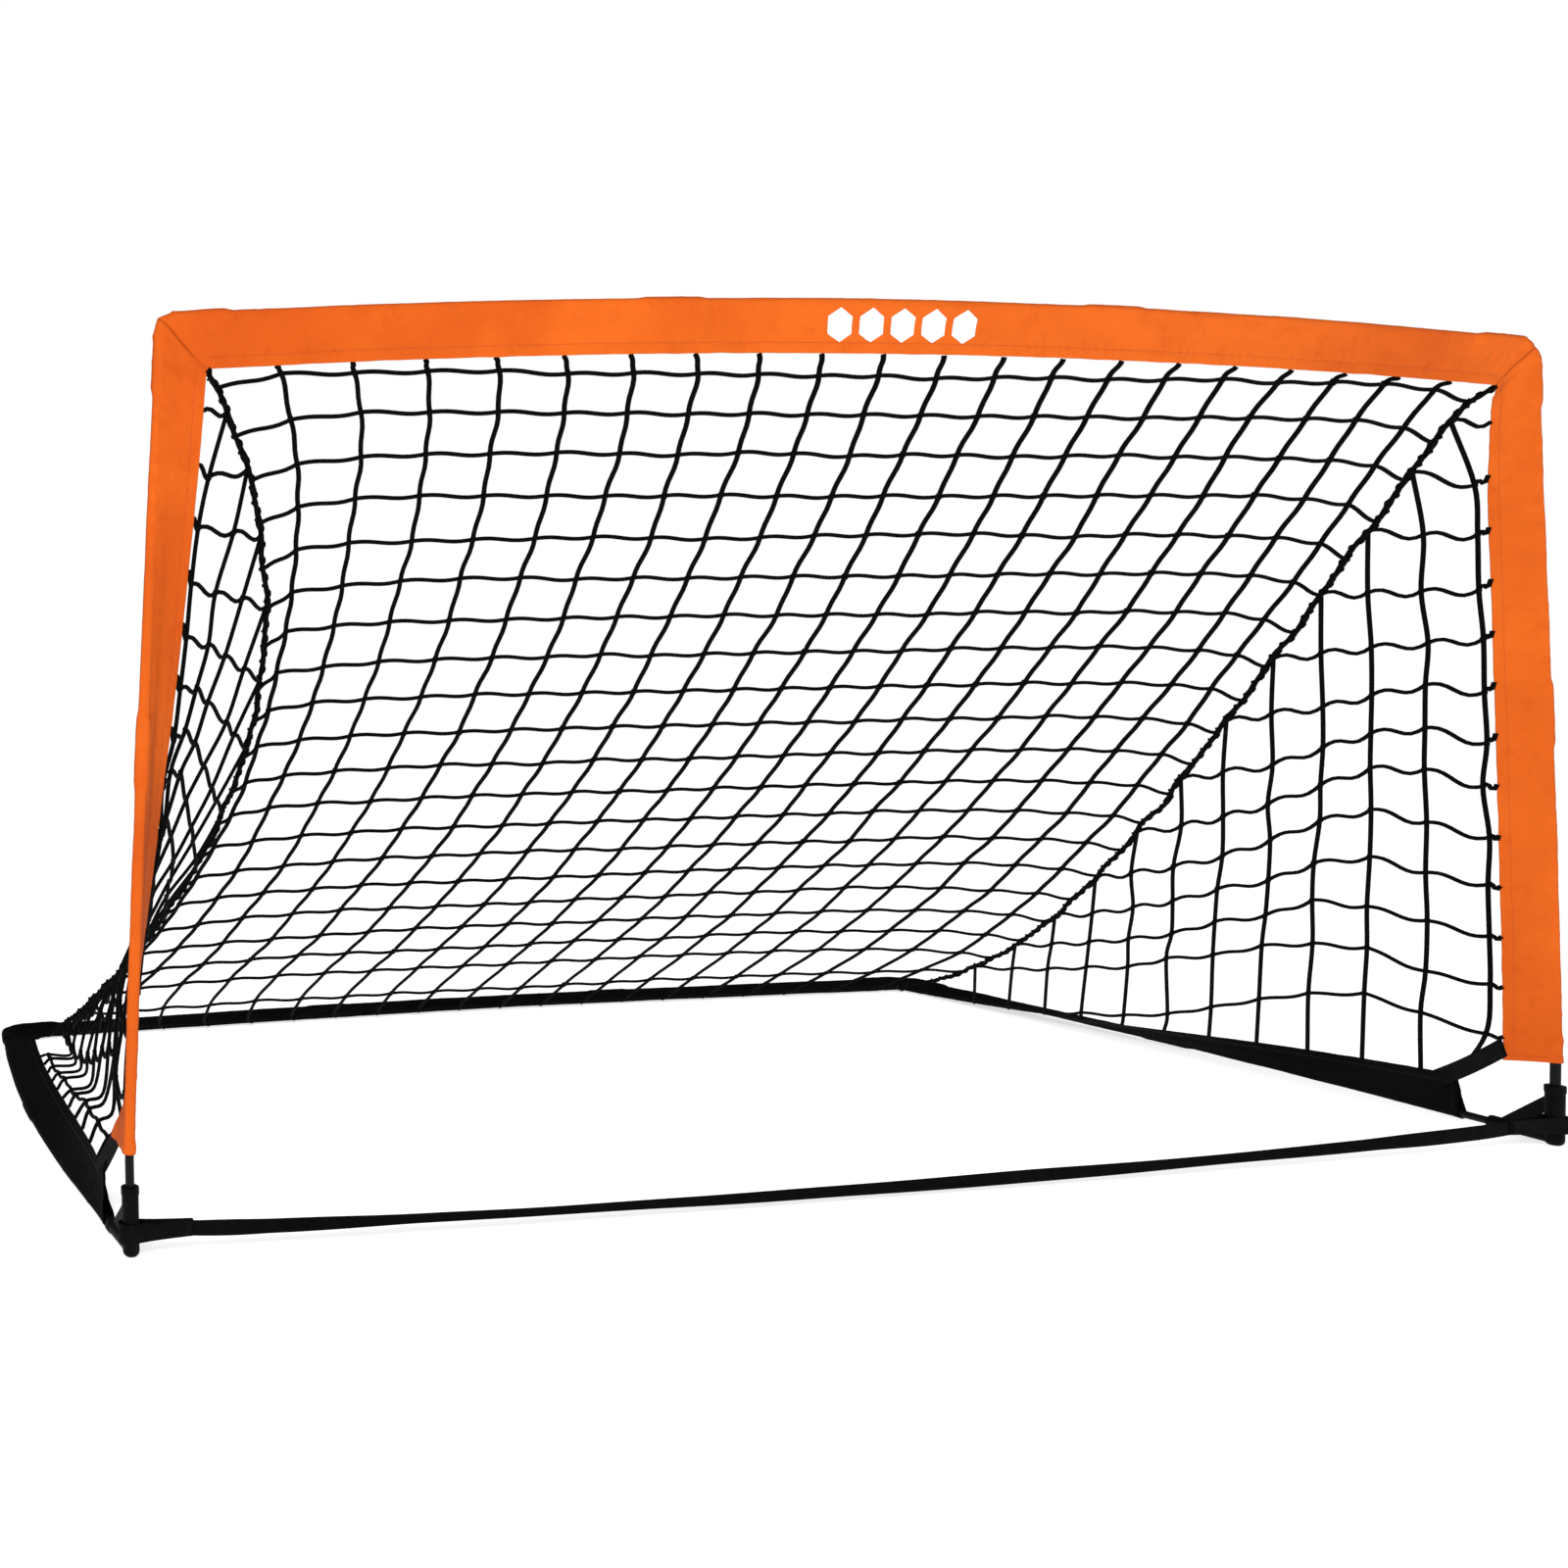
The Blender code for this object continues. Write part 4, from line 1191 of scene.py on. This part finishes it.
# One side of a strap's outline, as shares of half its width and half its thickness
BAND_SIDE = ((-1, -0.6), (-0.97, -1), (-0.5, -1), (0, -1), (0.5, -1), (0.97, -1), (1, -0.6))


def band(shape, line, width, thickness, lean=None):
    """A flat strap along a line, with softened edges. Both functions take the share of its length.

    The width is a number or a function, and lean gives how far the strap lies back, in radians."""
    reached = lengths(line)
    outline = BAND_SIDE + tuple((-a, -b) for a, b in BAND_SIDE)
    rows = []
    for i, p in enumerate(line):
        share = reached[i] / reached[-1]
        half = (width(share) if callable(width) else width) / 2
        ahead = chord(line, i).normalized()
        wide = (UP - ahead * UP.dot(ahead)).normalized()
        if lean:
            wide = Matrix.Rotation(lean(share), 3, ahead) @ wide
        thin = ahead.cross(wide)
        rows.append([p + wide * (a * half) + thin * (b * thickness / 2) for a, b in outline])
    girth = 4 * half
    shape.skin(rows, lambda i, j: (reached[i], girth * j / len(outline)))


STRAP_OVERLAP = 0.010  # behind the stitches of the loops
STRAP_STEPS = 240
STRAP_SAG = 0.0185
STRAP_WAVE = 0.0010
STRAP_LEAN = (  # shares of the strap's length, and degrees
    (0.0, 0), (0.06, 50), (0.16, 76), (0.25, 80), (0.44, 66), (0.59, 54), (0.75, 72), (0.87, 60),
    (0.95, 25), (1.0, 0),
)


def strap_lean(share):
    """The slack strap lies back between its ends, which stand upright."""
    for (a, low), (b, high) in zip(STRAP_LEAN, STRAP_LEAN[1:]):
        if share <= b:
            return -math.radians(low + (high - low) * ease((share - a) / (b - a)))
    return 0.0


def build_front_strap():
    low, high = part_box("front_strap")
    middle = (low + high) / 2
    line = []
    for i in range(STRAP_STEPS + 1):
        share = i / STRAP_STEPS
        x = low.x - STRAP_OVERLAP + (high.x - low.x + 2 * STRAP_OVERLAP) * share
        y = middle.y + STRAP_WAVE * ripple(share * 7, 0, 0)
        dip = STRAP_SAG * math.sin(math.pi * share) ** 0.6 + STRAP_WAVE * ripple(share * 9, 3, 0)
        line.append(Vector((x, y, middle.z - dip)))
    shape = Shape()
    band(shape, line, high.z - low.z, high.y - low.y, strap_lean)
    settle(shape.piece("front_strap_webbing", STRAP), "base", "webbing", "front_strap")


LOOP_FLARE = 0.15  # the loop is this much taller at the socket than where it is sewn
LOOP_CLEAR = 0.0008
LOOP_WALL = 0.0014
LOOP_GAP = 0.0016  # from the strap's middle to either end of the loop
LOOP_PINCH = 0.35  # how much of its bulge the loop loses halfway to the socket
LOOP_STEPS = (12, 40)  # samples from the strap to the socket, and round it
TACK_PLACES = (0.008, 0.020)
TACK_OUT = 0.0034
TACK_RISE = 0.0003
TACK_TALL = 0.8
TACK_HALF = 0.0035
TACK_TURNS = 7


def loop_line(centre, radius, reach, way):
    """A loop round a socket. The way is +1 when the strap lies on its +x side."""
    straight, turns = LOOP_STEPS
    start = math.acos(radius / reach)
    line = []
    for i in range(straight + 1):
        share = i / straight
        x = reach * (1 - share) + radius * math.cos(start) * share
        y = LOOP_GAP * (1 - share) + radius * math.sin(start) * share
        pinch = LOOP_PINCH * (y - LOOP_GAP) * math.sin(math.pi * share)
        line.append(centre + Vector((way * x, y - pinch, 0)))
    back = [Vector((p.x, 2 * centre.y - p.y, p.z)) for p in reversed(line)]
    for i in range(1, turns):
        angle = start + (2 * math.pi - 2 * start) * i / turns
        line.append(centre + Vector((way * radius * math.cos(angle), radius * math.sin(angle), 0)))
    return line + back


def add_bar_tack(shape, middle, width, face):
    """A zigzag block of stitches across a strap."""
    line = []
    steps = 2 * TACK_TURNS
    for i in range(steps + 1):
        z = -width / 2 + width * i / steps
        line.append(middle + Vector((TACK_HALF if i % 2 else -TACK_HALF, 0, z)) + face * TACK_RISE)
    shape.tube(line, STITCH_R, sides=5)


def build_strap_loop(side):
    """A band round the connector's socket whose two ends are sewn to the front strap."""
    name = f"strap_loop_{SIDES[side]}"
    low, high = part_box(name)
    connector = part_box(f"corner_connector_{SIDES[side]}")
    centre = Vector(((connector[0].x + connector[1].x) / 2, (low.y + high.y) / 2, (low.z + high.z) / 2))
    radius = (high.y - low.y) / 2 - LOOP_CLEAR
    reach = abs((low if side > 0 else high).x - centre.x)
    tall = high.z - low.z
    shape = Shape()
    line = loop_line(centre, radius, reach, -side)
    band(shape, line, lambda share: tall * (1 + LOOP_FLARE * math.sin(math.pi * share) ** 2), LOOP_WALL)
    settle(shape.piece(f"{name}_webbing", STRAP), "base", "webbing", name)
    tacks = Shape()
    for offset in TACK_PLACES:
        spot = centre + Vector((-side * (reach - offset), 0, 0))
        for face in (-1, 1):
            at = spot + Vector((0, face * TACK_OUT, 0))
            add_bar_tack(tacks, at, tall * TACK_TALL, Vector((0, face, 0)))
    settle(tacks.piece(f"{name}_tacks", BLACK_THREAD), "base", "webbing")


LINK_WIDTH = 0.028
LINK_WALL = 0.0013
LINK_TUCK = 0.009  # how far it runs into a sleeve at either end
LINK_RUN = 0.045  # how far it is sewn along the ground sleeve
LINK_DIP = 0.004
LINK_SAG = 0.003
LINK_END = 0.006  # the CAD strap's end is all the points this close to its outermost one
LINK_STEPS = 24


def build_link_strap(name):
    """The band that ties a post sleeve's foot to the front of a ground sleeve."""
    points = node_points(name)
    ends = []
    for pick in (min, max):
        anchor = pick(points, key=lambda p: p.y)
        near = [p for p in points if (p.xy - anchor.xy).length < LINK_END]
        ends.append((min(near, key=lambda p: p.z) + max(near, key=lambda p: p.z)) / 2)
    first, last = ends
    last += Vector((0, LINK_RUN, -LINK_DIP))
    tuck = (last - first).normalized() * LINK_TUCK
    line = []
    for i in range(LINK_STEPS + 1):
        share = i / LINK_STEPS
        p = (first - tuck).lerp(last + tuck, share)
        p.z -= LINK_SAG * math.sin(math.pi * share)
        line.append(p)
    shape = Shape()
    band(shape, line, LINK_WIDTH, LINK_WALL)
    obj = shape.piece(f"{name}_webbing", STRAP)
    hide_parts(name)
    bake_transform(obj)


# Connectors and poles ---------------------------------------------------------------------------

SAME_POINT = 0.00002
MOULD_GRAIN = 0.0006  # size of the cubes that the moulding is rebuilt from
MOULD_SMOOTHING = (0.6, 6)
HARD_EDGE = math.radians(40)


def add_weld(obj):
    weld = obj.modifiers.new("weld", "WELD")
    weld.merge_threshold = SAME_POINT


def wear(data, material):
    """Give a mesh one material."""
    data.materials.clear()
    data.materials.append(material)


def build_connector(name):
    """The CAD moulding with its edges blended the way a moulded part's are."""
    obj = add_object(f"{name}_moulding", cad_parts[name].data.copy())
    wear(obj.data, PLASTIC)
    add_weld(obj)
    remesh = obj.modifiers.new("remesh", "REMESH")
    remesh.mode = "VOXEL"
    remesh.voxel_size = MOULD_GRAIN
    smooth = obj.modifiers.new("smooth", "SMOOTH")
    smooth.factor, smooth.iterations = MOULD_SMOOTHING
    graph = bpy.context.evaluated_depsgraph_get()
    data = bpy.data.meshes.new_from_object(obj.evaluated_get(graph))
    obj.modifiers.clear()
    obj.data = data
    data.shade_smooth()
    settle(obj, "base", "black_plastic", name)


def dress_nodes():
    """New finishes for the CAD nodes that stay: poles, ferrules, elbows and shock cords."""
    looks = (("pole", ROD), ("ferrule", METAL), ("elbow", PLASTIC), ("shock_cord", ELASTIC))
    for name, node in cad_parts.items():
        for material in (material for word, material in looks if word in name):
            wear(node.data, material)
            node.data.shade_smooth()
            add_weld(node)
            split = node.modifiers.new("edges", "EDGE_SPLIT")
            split.split_angle = HARD_EDGE


# Stage ------------------------------------------------------------------------------------------

CAMERA_AT = Vector((-1.4576, -2.3445, 0.6948))
CAMERA_TURN = (-7.846, 1.927, -1.302)  # yaw, downward pitch and roll, in degrees
CAMERA_LENS = 31.47
CAMERA_SHIFT = (0.4897, -0.0142)
SAME_PLACE = 0.01

DOME = 0.38  # strength of the dome's light
FLOOR_REACH = 14.0
FLOOR_DROP = 0.0005
FLOOR_GLOW = 0.68  # keeps the floor as pale as the dome behind it
LIGHTS = (  # name, place, aim, size and watts
    ("key", (-2.6, -3.6, 3.4), (0, -0.4, 0.6), 2.0, 98),
    ("fill", (3.2, -2.6, 2.0), (0, 0, 0.5), 2.6, 22),
)


def build_camera():
    data = bpy.data.cameras.new("camera")
    data.lens = CAMERA_LENS
    camera = add_object("camera", data)
    yaw, pitch, roll = (math.radians(a) for a in CAMERA_TURN)
    turn = (
        Matrix.Rotation(yaw, 3, "Z")
        @ Matrix.Rotation(math.radians(90) - pitch, 3, "X")
        @ Matrix.Rotation(roll, 3, "Z")
    )
    camera.rotation_mode = "QUATERNION"
    camera.rotation_quaternion = turn.to_quaternion()
    camera.location = CAMERA_AT
    # The lens shift belongs to this one viewpoint, so it is off wherever else the camera goes
    for path, shift in zip(("shift_x", "shift_y"), CAMERA_SHIFT):
        driver = data.driver_add(path).driver
        driver.type = "SCRIPTED"
        place = driver.variables.new()
        place.name = "px"
        place.type = "TRANSFORMS"
        place.targets[0].id = camera
        place.targets[0].transform_type = "LOC_X"
        driver.expression = f"{shift} if abs(px - {CAMERA_AT.x}) < {SAME_PLACE} else 0.0"
    bpy.context.scene.camera = camera


def area_light(name, place, aim, size, power):
    data = bpy.data.lights.new(name, "AREA")
    data.shape = "DISK"
    data.size = size
    data.energy = power
    light = add_object(name, data)
    light.location = place
    light.rotation_euler = (Vector(aim) - Vector(place)).to_track_quat("-Z", "Y").to_euler()


def build_world():
    """A soft dome that the camera sees as plain white."""
    world = bpy.data.worlds.new("studio")
    world.use_nodes = True
    tree = world.node_tree
    rays = tree.nodes.new("ShaderNodeLightPath")
    level = tree.nodes.new("ShaderNodeMapRange")
    level.inputs["To Min"].default_value = DOME
    level.inputs["To Max"].default_value = 1.0
    tree.links.new(rays.outputs["Is Camera Ray"], level.inputs["Value"])
    tree.links.new(level.outputs["Result"], tree.nodes["Background"].inputs["Strength"])
    tree.nodes["Background"].inputs["Color"].default_value = (1, 1, 1, 1)
    bpy.context.scene.world = world


def build_floor():
    data = bpy.data.meshes.new("floor")
    corners = [(x * FLOOR_REACH, y * FLOOR_REACH, 0) for x, y in ((-1, -1), (1, -1), (1, 1), (-1, 1))]
    data.from_pydata(corners, [], [(0, 1, 2, 3)])
    nodes = Nodes("pale_floor")
    colour = nodes.ramp(nodes.noise(1.5), (0.94,) * 3, (0.97,) * 3)
    glow = dict(Emission_Color=(1, 1, 1, 1), Emission_Strength=FLOOR_GLOW)
    data.materials.append(nodes.finish(colour, 0.9, gloss=0.1, **glow))
    floor = add_object("floor", data)
    floor.location.z = -FLOOR_DROP


def build():
    arch = dress(ARCH)
    base = dress(BASE)
    sew(arch, ARCH)
    sew(base, BASE)
    print_mark(arch["crossbar_sleeve"])
    build_net(arch, base)
    build_front_strap()
    for side, word in SIDES.items():
        build_strap_loop(side)
        build_link_strap(f"link_strap_{word}")
        build_connector(f"corner_connector_{word}")
    dress_nodes()
    build_floor()
    build_world()
    for light in LIGHTS:
        area_light(*light)
    bpy.context.scene.view_settings.view_transform = "Standard"
    build_camera()


build()
